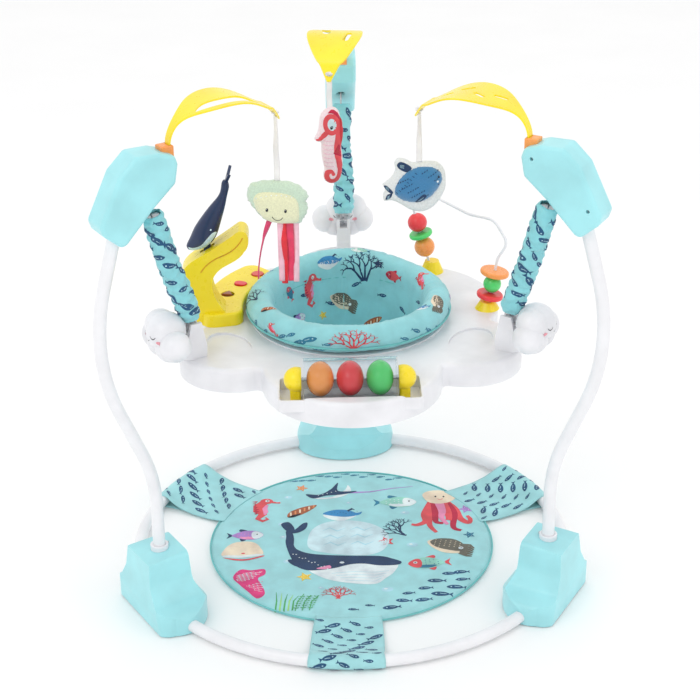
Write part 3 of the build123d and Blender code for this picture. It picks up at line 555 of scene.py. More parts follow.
def smooth_outline(points, steps=6):
    """Closed smooth curve through the points."""
    points = [Vector(p) for p in points]
    corners = zip(points[-1:] + points, points, points[1:] + points[:1], points[2:] + points[:2])
    return [between(*four, j / steps) for four in corners for j in range(steps)]


def smooth_line(points, steps):
    """Open smooth curve through the points."""
    ends = [Vector(p) for p in (points[0], *points, points[-1])]
    corners = zip(ends, ends[1:], ends[2:], ends[3:])
    return [between(*four, j / steps) for four in corners for j in range(steps)] + [ends[-1]]


def metres(points, grid=1000):
    """Points given in thousandths, or in other parts, of a metre."""
    return [(x / grid, y / grid) for x, y in points]


def oval(x, y, rx, ry, turn=0.0, count=18):
    c, s = cos(turn), sin(turn)
    ring = [(rx * cos(tau * i / count), ry * sin(tau * i / count)) for i in range(count)]
    return [Vector((x + c * a - s * b, y + s * a + c * b)) for a, b in ring]


def stroke(points, widths):
    """Outline of a tapering line drawn through the points."""
    left, right_side = [], []
    path = [Vector(p) for p in points]
    for i, p in enumerate(path):
        way = path[min(i + 1, len(path) - 1)] - path[max(i - 1, 0)]
        normal = Vector((-way.y, way.x)).normalized()
        width = widths[min(i, len(widths) - 1)] if isinstance(widths, (list, tuple)) else widths
        left.append(p + normal * width / 2)
        right_side.append(p - normal * width / 2)
    return left + right_side[::-1]


def star(x, y, r, turn=0.3, inner=0.5):
    spokes = [(r if i % 2 == 0 else r * inner, turn + i * pi / 5) for i in range(10)]
    return [Vector((x + d * cos(a), y + d * sin(a))) for d, a in spokes]


class Print:
    """Coloured flat outlines in one plane, later laid on a surface as one thin piece."""

    def __init__(self):
        self.shapes = []

    def place(self, x, y, scale=None, turn=0.0, flip=False):
        self.grid = 100 if scale else 1000
        scale = scale or 1.0
        spin = Matrix.Rotation(turn, 3, "Z")
        grow = Matrix.Diagonal((-scale if flip else scale, scale, 1))
        self.move = spin @ grow
        self.offset = Vector((x, y, 0))
        self.layer = 0

    def patch(self, colour, points, steps=6):
        """Smooth shape, its points in hundredths of the motif or, without a scale, in millimetres."""
        self.add(colour, smooth_outline(metres(points, self.grid), steps))

    def dot(self, colour, *arguments, **words):
        self.add(colour, oval(*arguments, **words))

    def line(self, colour, points, widths):
        self.add(colour, stroke(points, widths))

    def add(self, colour, outline):
        points = [self.move @ Vector((p[0], p[1], 0)) + self.offset for p in outline]
        self.shapes.append((colour, [p.to_2d() for p in points], self.layer))
        self.layer += 1

    def lay(self, name, surface, body, lift=0.0003, cell=0.006, slot="teal_print_fabric", step=0.00003):
        """Cuts the shapes into small triangles and maps each corner through surface(u, v, lift)."""
        build = bmesh.new()
        colours = sorted({colour for colour, _, _ in self.shapes})
        layer = build.verts.layers.float.new("lift")
        for colour, outline, order in self.shapes:
            corners = []
            for p in outline:
                corner = build.verts.new((p.x, p.y, 0))
                corner[layer] = lift + step * min(order, 30)
                corners.append(corner)
            flat = [Vector((p.x, p.y, 0)) for p in outline]
            for triangle in geometry.tessellate_polygon([flat]):
                a, b, c = (corners[i] for i in triangle)
                if (b.co - a.co).cross(c.co - a.co).z < 0:
                    b, c = c, b
                try:
                    build.faces.new((a, b, c)).material_index = colours.index(colour)
                except ValueError:
                    pass
        for _ in range(5):
            long_edges = [e for e in build.edges if e.calc_length() > cell]
            if not long_edges:
                break
            bmesh.ops.subdivide_edges(build, edges=long_edges, cuts=1)
        bmesh.ops.triangulate(build, faces=build.faces[:])
        for v in build.verts:
            v.co = surface(v.co.x, v.co.y, v[layer])
        mesh = bpy.data.meshes.new(name)
        build.to_mesh(mesh)
        build.free()
        for colour in colours:
            mesh.materials.append(ink(colour))
        return new_object(name, mesh, body, slot=slot)


def little_fish(p, x, y, size, turn=0.0, flip=False, body="marine", line="sky"):
    p.place(x, y, size, turn, flip)
    p.patch(body, [(-50, 0), (-25, 17), (12, 16), (34, 3), (34, -3), (12, -14), (-25, -16)], 3)
    p.add(body, [(0.3, 0), (0.52, 0.15), (0.46, 0), (0.52, -0.15)])
    p.dot("sky", -0.26, 0.02, 0.045, 0.045, count=8)
    p.line(line, [(-0.1, 0.06), (0.05, 0.02), (0.2, 0.02)], 0.035)


def reef_fish(p, x, y, size, turn, colours, flip=False):
    body, head, fin, belly = colours
    p.place(x, y, size, turn, flip)
    p.patch(fin, [(-12, 20), (16, 34), (20, 22), (2, 18)], 4)
    p.patch(fin, [(-2, -20), (12, -32), (18, -18)], 4)
    p.add(fin, [(0.36, 0.0), (0.56, 0.16), (0.5, 0.0), (0.56, -0.16)])
    p.patch(body, [(-48, 0), (-30, 20), (5, 24), (38, 5), (38, -5), (5, -22), (-30, -20)])
    p.patch(belly, [(-40, -10), (-10, -8), (20, -10), (5, -20), (-25, -19)], 4)
    p.patch(head, [(-48, 0), (-32, 18), (-18, 18), (-14, 0), (-20, -17), (-34, -17)], 4)
    p.dot("white", -0.3, 0.04, 0.05, 0.05)
    p.dot("black", -0.3, 0.04, 0.025, 0.025)
    for i in range(9):
        p.dot(belly, -0.05 + 0.1 * (i % 4), 0.12 - 0.09 * (i // 3), 0.018, 0.014, count=6)


def star_fish(p, x, y, size, colour, turn=0.3):
    p.place(x, y, size, turn)
    p.add(colour, smooth_outline(star(0, 0, 0.5), 3))
    for i in range(5):
        p.dot("white", 0.2 * cos(i * tau / 5 + 0.3), 0.2 * sin(i * tau / 5 + 0.3), 0.03, 0.03, count=6)


def branch_coral(p, x, y, size, colours, turn=0.0, spread=1.0):
    p.place(x, y, size, turn)
    twigs = [((0, 0), 90, 0.34, 0.075)]
    for level in range(4):
        grown = []
        for index, ((a, b), angle, length, width) in enumerate(twigs):
            end = (a + length * cos(radians(angle)), b + length * sin(radians(angle)))
            bend = ((a + end[0]) / 2 + 0.03 * sin(7 * a + level), (b + end[1]) / 2)
            p.line(colours[(index + level) % len(colours)], [(a, b), bend, end],
                    [width, width * 0.8, width * 0.55])
            grown += [(end, angle + spread * (30 + 6 * level), length * 0.66, width * 0.68),
                    (end, angle - spread * (26 + 5 * level), length * 0.7, width * 0.68)]
        twigs = grown


def shell(p, x, y, size, turn=0.0):
    p.place(x, y, size, turn)
    p.patch("brown", [(-50, -10), (-35, 12), (10, 20), (50, 12), (20, -6), (-20, -16)])
    for i in range(6):
        a = -0.4 + 0.15 * i
        p.line("orange" if i % 2 else "cream", [(a, -0.08 + 0.02 * i), (a + 0.08, 0.1 + 0.01 * i)], 0.05)
    p.patch("black", [(-50, -10), (-30, -6), (-10, -12), (-35, -17)], 4)


def cuttlefish(p, x, y, size, turn=0.0, flip=False):
    p.place(x, y, size, turn, flip)
    p.patch("cream", [(-50, 10), (-36, -10), (-10, -24), (20, -20), (10, 0), (-30, 20)])
    p.patch("grey", [(-44, 12), (-30, 25), (0, 28), (24, 12), (30, -8), (12, -14), (-20, -10), (-38, 0)])
    for i in range(6):
        p.line("grey", [(0.2, 0.1 - 0.06 * i), (0.36, 0.12 - 0.08 * i),
                (0.46, 0.02 - 0.06 * i)], [0.09, 0.07, 0.03])
    for i in range(26):
        p.dot("cream", -0.34 + 0.1 * (i % 6), 0.2 - 0.07 * (i // 6), 0.016, 0.01, 0.6, count=5)
    p.dot("white", 0.2, -0.03, 0.05, 0.05)
    p.dot("black", 0.205, -0.03, 0.025, 0.025)


def sea_horse_print(p, x, y, size, turn=0.0, flip=False):
    p.place(x, y, size, turn, flip)
    p.line("coral", [(0.02, 0.36), (-0.12, 0.16), (-0.1, -0.04), (-0.02, -0.2), (-0.14, -0.4), (-0.02, -0.5),
            (0.1, -0.42), (0.04, -0.34)], [0.2, 0.26, 0.3, 0.2, 0.12, 0.1, 0.07, 0.04])
    p.line("pink", [(0.08, 0.22), (0.02, 0.05), (0.05, -0.1), (0.02, -0.22)], [0.06, 0.12, 0.12, 0.04])
    p.dot("coral", 0.06, 0.38, 0.15, 0.12)
    p.line("coral", [(0.14, 0.36), (0.3, 0.3), (0.38, 0.3)], [0.1, 0.05, 0.07])
    p.dot("white", 0.08, 0.4, 0.05, 0.05)
    p.dot("black", 0.085, 0.4, 0.025, 0.025)
    for i in range(7):
        p.add("crimson", [(-0.14 - 0.05 * sin(i), 0.4 - 0.09 * i), (-0.28 + 0.01 * i, 0.38 - 0.09 * i),
                (-0.18, 0.33 - 0.09 * i)])


def manta(p, x, y, size, turn=0.0):
    p.place(x, y, size, turn)
    p.line("purple", [(0.1, 0.02), (0.5, 0.02), (0.85, 0.12), (1.2, 0.17)], [0.05, 0.03, 0.02, 0.01])
    p.patch("white", [(-42, -12), (-10, -10), (10, 10), (16, 26), (20, 5), (2, -12), (-25, -17)])
    p.patch("navy", [(-52, 0), (-30, -2), (-12, 14), (0, 34), (0, 8), (30, 6), (5, -4), (-20, -6),
            (-40, -14)])
    for i in range(6):
        p.dot("white", -0.32 + 0.07 * i, -0.05 + 0.03 * i, 0.01, 0.01, count=6)


def puffer_print(p, x, y, size, turn=0.0, flip=False):
    p.place(x, y, size, turn, flip)
    p.patch("white", [(-45, 5), (-30, -18), (0, -26), (30, -10), (30, 5)])
    p.patch("blue", [(-48, 10), (-20, 26), (15, 24), (36, 10), (50, 14), (42, 0), (10, -8), (-30, 0)])
    p.line("navy", [(0.14, 0.2), (0.26, 0.3), (0.32, 0.24)], [0.06, 0.08, 0.02])
    for i in range(10):
        p.dot("navy", -0.25 + 0.07 * i, 0.12 + 0.05 * sin(2.3 * i), 0.012, 0.012, count=6)


def octopus_print(p):
    """Octopus at the back right of the mat, in metres."""
    p.place(0, 0)
    arms = [([(164, 134), (147, 92), (146, 64), (130, 52), (118, 54)], "coral"), ([(168, 130), (157, 92),
            (153, 50), (164, 22)], "coral"), ([(190, 132), (206, 104), (214, 70), (228, 54), (233, 66),
            (228, 80)], "coral"), ([(188, 132), (203, 92), (198, 40), (212, 26)], "crimson"), ([(170, 132),
            (168, 96), (166, 62), (180, 55)], "crimson"), ([(184, 132), (192, 92), (190, 62),
            (178, 70)], "coral"), ([(177, 134), (181, 100), (178, 74), (188, 50)], "pink")]
    for points, colour in arms:
        line = smooth_line(metres(points), 6)
        p.line(colour, line, [0.019 - 0.013 * i / len(line) for i in range(len(line))])
    p.patch("cream", [(147, 166), (160, 178), (186, 180), (206, 170), (211, 150), (199, 134), (178, 128),
            (158, 134), (149, 150)])
    p.dot("black", 0.172, 0.156, 0.002, 0.003, count=8)
    p.dot("black", 0.188, 0.155, 0.002, 0.003, count=8)
    p.line("coral", metres([(175, 147), (180, 143), (186, 147)]), 0.0016)


def clam_print(p, x, y, size):
    p.place(x, y, size)
    p.patch("cream", [(-48, -12), (-46, 26), (-22, 52), (20, 54), (42, 28), (44, -12)])
    p.patch("coral", [(-52, -16), (-20, -24), (10, -26), (50, -12), (48, -18), (10, -33), (-20, -31)], 4)
    p.patch("white", [(-48, -14), (0, -20), (46, -10), (40, -4), (0, -10), (-44, -6)], 4)
    p.dot("coral", 0.0, 0.0, 0.05, 0.03)


def sea_weed(p, x, y, size):
    p.place(x, y, size)
    for i in range(5):
        a = -0.42 + 0.09 * i
        p.line("lime" if i % 2 else "green", [(a, -0.4), (a + 0.03, -0.05),
                (a + 0.02 + 0.03 * i, 0.3 - 0.04 * i)], [0.035, 0.03, 0.008])
    for i in range(3):
        a = 0.05 + 0.15 * i
        p.line("green", [(a - 0.05, -0.42), (a, -0.1), (a + 0.14, 0.2 - 0.06 * i)], 0.02)
        for k in range(6):
            share = k / 6
            cx, cy = a - 0.03 + 0.16 * share, -0.32 + 0.5 * share
            p.dot("green", cx - 0.03, cy, 0.034, 0.013, 2.6, count=8)
            p.dot("green", cx + 0.035, cy, 0.034, 0.013, 0.5, count=8)


def whale_print(p):
    """Big whale across the middle of the mat, in metres."""
    p.place(0, 0)
    p.patch("white", [(-84, -98), (-60, -96), (-33, -90), (-5, -80), (22, -79), (49, -86), (83, -86),
            (76, -112), (59, -133), (38, -151), (-7, -146), (-50, -131)])
    for k in range(4):
        p.line("sky", metres([(-40 + 8 * k, -112 - 8 * k), (0, -108 - 10 * k), (40, -112 - 10 * k),
                (66 - 5 * k, -108 - 8 * k)]), 0.0011)
    p.patch("navy", [(-124, 40), (-112, 31), (-109, 10), (-109, -14), (-99, -31), (-71, -45), (-4, -53),
            (51, -57), (74, -67), (91, -79), (82, -89), (49, -89), (22, -82), (-5, -83), (-33, -94),
            (-60, -100), (-84, -100), (-104, -87), (-112, -66), (-119, -40), (-125, -4), (-124, 20)], 5)
    p.patch("navy", [(-117, 34), (-128, 48), (-134, 66), (-120, 73), (-110, 56), (-108, 38)], 4)
    p.patch("navy", [(-116, 32), (-103, 50), (-92, 66), (-83, 68), (-86, 48), (-100, 34)], 4)
    p.patch("navy", [(-100, -68), (-112, -62), (-121, -64), (-116, -76), (-104, -86)], 4)
    p.patch("pink", [(-68, -95), (-54, -88), (-43, -85), (-41, -94), (-54, -98)], 4)
    p.dot("white", -0.020, -0.076, 0.0045, 0.0035, count=10)
    for i in range(12):
        p.dot("white", -0.111 + 0.0058 * i, -0.044 - 0.0048 * i + 0.004 * sin(2 * i), 0.0016, 0.0014, count=6)


def bubbles(p, spots):
    for x, y, size in spots:
        p.place(x, y, size)
        p.dot("sky", 0, 0, 0.5, 0.36)
        p.dot("white", -0.12, 0.08, 0.16, 0.1, count=10)


# ---------------------------------------------------------------- play mat
def mat_height(x, y):
    """Top of the mat: quilted softness, soft waves and a rounded edge."""
    r = sqrt(x * x + y * y)
    edge = max(0.0, (MAT_R - 0.004 - r)) / 0.012
    rounded = 0.0034 * (1 - sqrt(max(0.0, 1 - (1 - min(edge, 1.0)) ** 2)))
    waves = 0.0007 * noise.noise(Vector((x * 9, y * 9, 0.3))) + 0.0004 * noise.noise(Vector((x * 28, y * 28,
            1.7)))
    return 0.0073 + waves - rounded


def mat_surface(x, y, lift=0.0):
    return Vector((x, y, mat_height(x, y) + lift))


def make_mat():
    rings, around = 46, 160
    points, faces = [Vector((0, 0, mat_height(0, 0)))], []
    for i in range(1, rings + 1):
        r = (MAT_R - 0.001) * sin(i / rings * pi / 2)
        points += [mat_surface(r * cos(tau * j / around), r * sin(tau * j / around)) for j in range(around)]
    for r, z in ((MAT_R, 0.0028), (MAT_R - 0.002, 0.0006), (MAT_R - 0.03, 0.0003)):
        points += [Vector((r * cos(tau * j / around), r * sin(tau * j / around), z)) for j in range(around)]
    faces += [(0, 1 + j, 1 + (j + 1) % around) for j in range(around)]
    faces += ring_faces(rings + 2, around, start=1)
    last = 1 + (rings + 2) * around
    points.append(Vector((0, 0, 0.0003)))
    faces += [(len(points) - 1, last + (j + 1) % around, last + j) for j in range(around)]
    mat = new_object("play_mat_cover", mesh_from("play_mat_cover", points, faces, teal_cloth),
            "stand", slot="teal_print_fabric")
    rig.replaces(mat, "play_mat")
    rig.padded(mat, 0.35)
    # piping round the edge
    ring_tube("play_mat_piping", MAT_R - 0.0004, 0.0050, 0.0016, piping_cloth, "stand")


def ring_tube(name, radius, z, thick, material, body, around=180):
    """Thin round cord in a level ring."""
    points, sides = [], 8
    for i in range(around):
        a = tau * i / around
        for k in range(sides):
            b = tau * k / sides
            r = radius + thick * cos(b)
            points.append(Vector((r * cos(a), r * sin(a), z + thick * sin(b))))
    faces = ring_faces(around, sides, closed=True)
    return new_object(name, mesh_from(name, points, faces, material), body, slot="teal_print_fabric")


STRAP_PROFILE = [(0.258, 0.0080), (0.275, 0.0066), (0.300, 0.0052), (0.330, 0.0058), (0.355, 0.0100),
        (0.374, 0.0165), (0.388, 0.0236), (0.400, 0.0262), (0.4105, 0.0215), (0.4128, 0.0140),
        (0.4095, 0.0052), (0.400, 0.0016), (0.370, 0.0012), (0.335, 0.0012)]


def resample(profile, count):
    """Points evenly spaced along a smooth open curve through the profile."""
    dense = smooth_line(profile, 12)
    lengths = [0.0]
    for a, b in zip(dense, dense[1:]):
        lengths.append(lengths[-1] + (b - a).length)
    out, k = [], 0
    for i in range(count):
        goal = lengths[-1] * i / (count - 1)
        while k < len(lengths) - 2 and lengths[k + 1] < goal:
            k += 1
        share = (goal - lengths[k]) / max(1e-9, lengths[k + 1] - lengths[k])
        out.append(dense[k].lerp(dense[k + 1], share))
    return out, lengths[-1]


def along_profile(samples, share):
    place = max(0.0, min(1.0, share)) * (len(samples) - 1)
    k = min(int(place), len(samples) - 2)
    return samples[k].lerp(samples[k + 1], place - k), (samples[k + 1] - samples[k]).normalized()


def make_straps():
    samples, length = resample(STRAP_PROFILE, 90)
    for number, (azimuth, half) in enumerate(STRAPS.items()):
        tag = ("front", "right", "left")[number]

        def surface(u, v, lift=0.0, azimuth=azimuth, half=half):
            """u across the strap in metres, v along it from the mat in metres."""
            point, way = along_profile(samples, v / length)
            widen = 1 + 0.42 * max(0.0, 1 - v / 0.14)
            angle = azimuth + u / RING_R * 180 / pi * widen
            ripple = 0.0006 * noise.noise(Vector((u * 40, v * 40, number)))
            r, z = point.x - way.y * (lift + ripple), point.y + way.x * (lift + ripple)
            return Vector((r * cos(radians(angle)), r * sin(radians(angle)), max(z, 0.0004)))

        wide = radians(half) * RING_R
        columns, rows, points, faces = 26, 88, [], []
        for thickness in (0.0, -0.0011):
            for i in range(rows):
                points += [surface(wide * (2 * j / (columns - 1) - 1), length * i / (rows - 1),
                        thickness) for j in range(columns)]
        count = rows * columns
        for i in range(rows - 1):
            for j in range(columns - 1):
                a = i * columns + j
                faces.append((a, a + 1, a + columns + 1, a + columns))
                faces.append((count + a, count + a + columns, count + a + columns + 1, count + a + 1))
        rim = [j for j in range(columns)] + [i * columns + columns - 1 for i in range(1, rows)]
        rim += [(rows - 1) * columns + j for j in range(columns - 2, -1,
                -1)] + [i * columns for i in range(rows - 2, 0, -1)]
        for a, b in zip(rim, rim[1:] + rim[:1]):
            faces.append((a, count + a, count + b, b))
        strap = new_object(f"mat_strap_{tag}", mesh_from(f"mat_strap_{tag}", points, faces, teal_cloth),
                "stand", slot="teal_print_fabric")
        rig.sheet(strap, (2 * wide, length), "folded", [f"base_tube_{tag}"])
        p = Print()
        level = radians(-90 - azimuth) if tag == "front" else radians(90 - azimuth) + pi
        for i in range(30):
            u = wide * 0.84 * (((i * 0.618) % 1) * 2 - 1)
            v = 0.012 + (length * 0.80 - 0.02) * i / 30
            little_fish(p, u, v, 0.017 + 0.007 * (i % 3), level + 0.5 * sin(2.1 * i), flip=True)
        p.lay(f"mat_strap_print_{tag}", surface, "stand", lift=0.0004)


def print_mat():
    p = Print()
    p.place(-0.006, 0.012)
    p.patch("foam", [(-78, -14), (-68, 31), (-39, 57), (6, 62), (50, 45), (75, 13), (77, -22), (63, -50),
            (37, -64), (-6, -62), (-45, -52), (-71, -40)])
    for k in range(3):
        for side_step in (-0.026, 0.026):
            p.line("sky", [(side_step - 0.022, 0.026 - 0.026 * k), (side_step - 0.008, 0.036 - 0.026 * k),
                    (side_step + 0.006, 0.024 - 0.026 * k), (side_step + 0.022, 0.034 - 0.026 * k)], [0.001,
                    0.004, 0.004, 0.001])
    whale_print(p)
    star_fish(p, 0.066, -0.006, 0.034, "coral")
    sea_horse_print(p, -0.168, 0.122, 0.085)
    star_fish(p, -0.093, 0.203, 0.026, "orange", 0.9)
    shell(p, -0.092, 0.112, 0.07, 0.45)
    manta(p, -0.02, 0.178, 0.125)
    puffer_print(p, -0.015, 0.094, 0.078, flip=False)
    reef_fish(p, 0.094, 0.138, 0.082, 0.0, ("mint", "white", "teal", "white"), flip=True)
    octopus_print(p)
    star_fish(p, 0.228, 0.105, 0.03, "purple")
    for k in range(4):
        branch_coral(p, 0.106 - 0.004 * k, 0.014 + 0.004 * k, 0.062, ["navy"], 1.15 - 0.42 * k, 0.9)
    cuttlefish(p, 0.188, -0.03, 0.095, -0.25)
    star_fish(p, 0.226, 0.01, 0.024, "teal")
    reef_fish(p, -0.2, 0.028, 0.068, 0.0, ("purple", "white", "navy", "pink"), flip=True)
    clam_print(p, -0.205, -0.036, 0.075)
    p.place(0, 0)
    p.patch("magenta", [(-222, -117), (-209, -92), (-189, -95), (-165, -92), (-163, -110), (-176, -124),
            (-167, -150), (-163, -176), (-177, -188), (-195, -163), (-210, -141)], 4)
    for k in range(130):
        share = (k * 0.618) % 1
        depth = (k * 0.377) % 1
        x, y = -0.215 + 0.048 * share, -0.100 - 0.074 * depth * (0.4 + 0.6 * share)
        p.layer = 1 + k % 3
        p.dot(("pink", "foam", "blush")[k % 3], x, y, 0.0020 - 0.0009 * depth, 0.0014, 1.7 * k, count=6)
    sea_weed(p, -0.108, -0.196, 0.085)
    star_fish(p, -0.09, -0.122, 0.03, "yellow")
    for k in range(5):
        branch_coral(p, -0.034 + 0.002 * k, -0.196, 0.05 - 0.004 * (k % 2),
                ["coral", "crimson"], 0.42 * (k - 2), 0.9)
    reef_fish(p, 0.14, -0.085, 0.078, 0.05, ("mint", "coral", "coral", "teal"))
    schools = [(0.20, -0.118, 0.03), (0.178, -0.122, 0.03), (0.152, -0.146, 0.035), (0.2, -0.143, 0.028),
            (0.186, -0.168, 0.036), (0.13, -0.17, 0.028), (0.158, -0.19, 0.04), (0.098, -0.185, 0.024),
            (0.088, -0.208, 0.03), (0.124, -0.207, 0.032), (0.026, -0.22, 0.018), (0.065, -0.228, 0.034),
            (-0.004, -0.232, 0.02)]
    for i, (x, y, length) in enumerate(schools):
        little_fish(p, x, y, length, 0.12 * sin(3 * i))
    for i in range(13):
        x = -0.108 + 0.0175 * i
        depth = MAT_R - 0.012 - 0.006 * (i % 3)
        little_fish(p, x, (depth ** 2 - x ** 2) ** 0.5, 0.018, 0.1, body="teal", flip=i % 3 == 0)
    bubbles(p, [(-0.12, 0.168, 0.016), (-0.13, 0.066, 0.02), (-0.128, 0.018, 0.018), (-0.12, -0.068, 0.02),
            (0.108, 0.098, 0.018), (0.115, -0.02, 0.022), (0.06, -0.17, 0.022), (0.0, 0.14, 0.012),
            (-0.06, -0.16, 0.012)])
    p.lay("play_mat_print", mat_surface, "stand", lift=0.0003)


# ---------------------------------------------------------------- sleeves over the springs
def make_sleeves():
    for leg, azimuth in LEGS.items():
        top, bottom = at(azimuth, *SLEEVE_TOP), at(azimuth, *SLEEVE_BOTTOM)
        down = (bottom - top).normalized()
        length = (bottom - top).length
        side = across(azimuth)
        out = side.cross(down)
        seed = azimuth * 0.13

        def surface(u, v, lift=0.0, top=top, down=down, side=side, out=out, length=length, seed=seed):
            """u is the angle round the sleeve in metres of girth, v runs down it."""
            angle = u / SLEEVE_R
            share = max(0.0, min(1.0, v / length))
            spot = Vector((cos(angle) * 1.1, sin(angle) * 1.1, v * 26 + seed))
            warp = noise.noise(spot) * 3.6 + noise.noise(spot * 2.1) * 1.6
            scrunch = 0.0011 + 0.0009 * noise.noise(Vector((seed, 1.0, v * 20)))
            crumple = 0.0019 * noise.noise(spot * 1.7) + 0.0009 * noise.noise(spot * 4.3)
            folds = scrunch * sin(tau * v / 0.0175 + warp) + crumple
            cuff = 0.0035 * (max(0.0, 1 - share / 0.05) + max(0.0, 1 - (1 - share) / 0.05))
            r = 0.0190 + folds - cuff + lift
            sway = side * (0.0022 * sin(share * 7 + seed)) + out * (0.0016 * sin(share * 5 + seed))
            return top + down * v + side * (r * cos(angle)) + out * (r * sin(angle)) + sway

        girth, around, rows = tau * SLEEVE_R, 56, 170
        points = [surface(girth * j / around,
                length * i / (rows - 1)) for i in range(rows) for j in range(around)]
        inner = [surface(girth * j / around, length * i / (rows - 1),
                -0.0014) for i in range(rows) for j in range(around)]
        count, faces = len(points), ring_faces(rows - 1, around)
        faces += turned(ring_faces(rows - 1, around, start=count))
        for j in range(around):
            a, b = j, (j + 1) % around
            faces.append((a, b, count + b, count + a))
            c, d = (rows - 1) * around + a, (rows - 1) * around + b
            faces.append((c, count + c, count + d, d))
        name = f"spring_sleeve_{leg}"
        sleeve = new_object(name, mesh_from(name, points + inner, faces, sleeve_cloth), None)
        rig.slot(sleeve, "teal_print_fabric")
        if leg == "rear":
            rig.replaces(sleeve, "spring_sleeves")
        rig.sheet(sleeve, (girth, length * 1.06), "gathered", [f"housing_{leg}_a"])
        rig.blend(sleeve, "stand", "tray", start=SLEEVE_FIXED, end=SLEEVE_MOVING)
        p = Print()
        for i in range(30):
            little_fish(p, girth * ((i * 0.382) % 1), 0.012 + (length - 0.024) * i / 30,
                    0.021 + 0.006 * (i % 3), 0.5 * sin(1.7 * i) + 0.5, flip=i % 2 == 0)
        decal = p.lay(f"spring_sleeve_print_{leg}", surface, None, lift=0.0004, cell=0.004)
        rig.blend(decal, "stand", "tray", start=SLEEVE_FIXED, end=SLEEVE_MOVING)


sleeve_cloth = cloth("sleeve_cloth", (142, 214, 222), wrinkle=0.7)


def make_springs():
    """Coils that stretch with their sleeves."""
    mesh = nodes["bounce_springs"].data.copy()
    coils = new_object("bounce_spring_coils", mesh, None)
    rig.replaces(coils, "bounce_springs")
    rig.slot(coils, "steel")
    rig.blend(coils, "stand", "tray", start=(0, 0, 0.752), end=(0, 0, 0.556))


# ---------------------------------------------------------------- seat: roll round the rim and hanging bucket
SEAT_SECTION = [(0.1500, 0.4845), (0.1660, 0.4858), (0.1765, 0.4930), (0.1812, 0.5070), (0.1772, 0.5200),
        (0.1665, 0.5288), (0.1560, 0.5305), (0.1455, 0.5268), (0.1380, 0.5170), (0.1345, 0.5050),
        (0.1322, 0.4800), (0.1275, 0.4400), (0.1215, 0.4050), (0.1120, 0.3650), (0.1000, 0.3400),
        (0.0820, 0.3245), (0.0500, 0.3215), (0.0010, 0.3205)]
SEAT_UNDERSIDE = [(0.0010, 0.3176), (0.0500, 0.3182), (0.0840, 0.3207), (0.1035, 0.3375), (0.1155, 0.3630),
        (0.1250, 0.4040), (0.1310, 0.4395), (0.1360, 0.4780), (0.1400, 0.4862)]
WALL_R = 0.132
seat_samples, seat_length = resample(SEAT_SECTION, 240)
WALL_SEAMS = (62.0, 92.0, 118.0, 200.0, 240.0, 300.0, 340.0)


def rear_raise(angle):
    """The back of the roll stands higher, from azimuth 40 to 140."""
    offset = abs((angle - 90 + 180) % 360 - 180)
    return 0.5 + 0.5 * cos(pi * min(1.0, offset / 58))


def seat_shape(angle, point, way, lift):
    """Section point carried round to an azimuth, with folds, seams and the raised back."""
    r, z = point
    on_roll = max(0.0, min(1.0, (z - 0.485) / 0.02))
    low = max(0.0, min(1.0, (0.50 - z) / 0.05))
    c, s = cos(radians(angle)), sin(radians(angle))
    broad = 0.0016 * noise.noise(Vector((c * 3.2, s * 3.2, z * 16)))
    fine = noise.noise(Vector((c * 17, s * 17, z * 22 + 3.0)))
    gathers = 0.0009 * noise.noise(Vector((c * 42, s * 42, z * 9))) * (1.0 if z > 0.49 else 0.6)
    swell = lift + broad + 0.0008 * fine + gathers
    for seam in WALL_SEAMS:
        gap = abs((angle - seam + 180) % 360 - 180) * WALL_R * pi / 180
        swell -= 0.0026 * max(0.0, 1 - gap / 0.007) ** 2 * (0.5 + 0.5 * low)
    r += way.y * swell
    z -= way.x * swell
    z += REAR_LIFT * rear_raise(angle) * on_roll
    sag = 0.003 * noise.noise(Vector((c * 2.1, s * 2.1, 9.0))) * low
    return Vector(((r + sag) * c, (r + sag) * s, z))


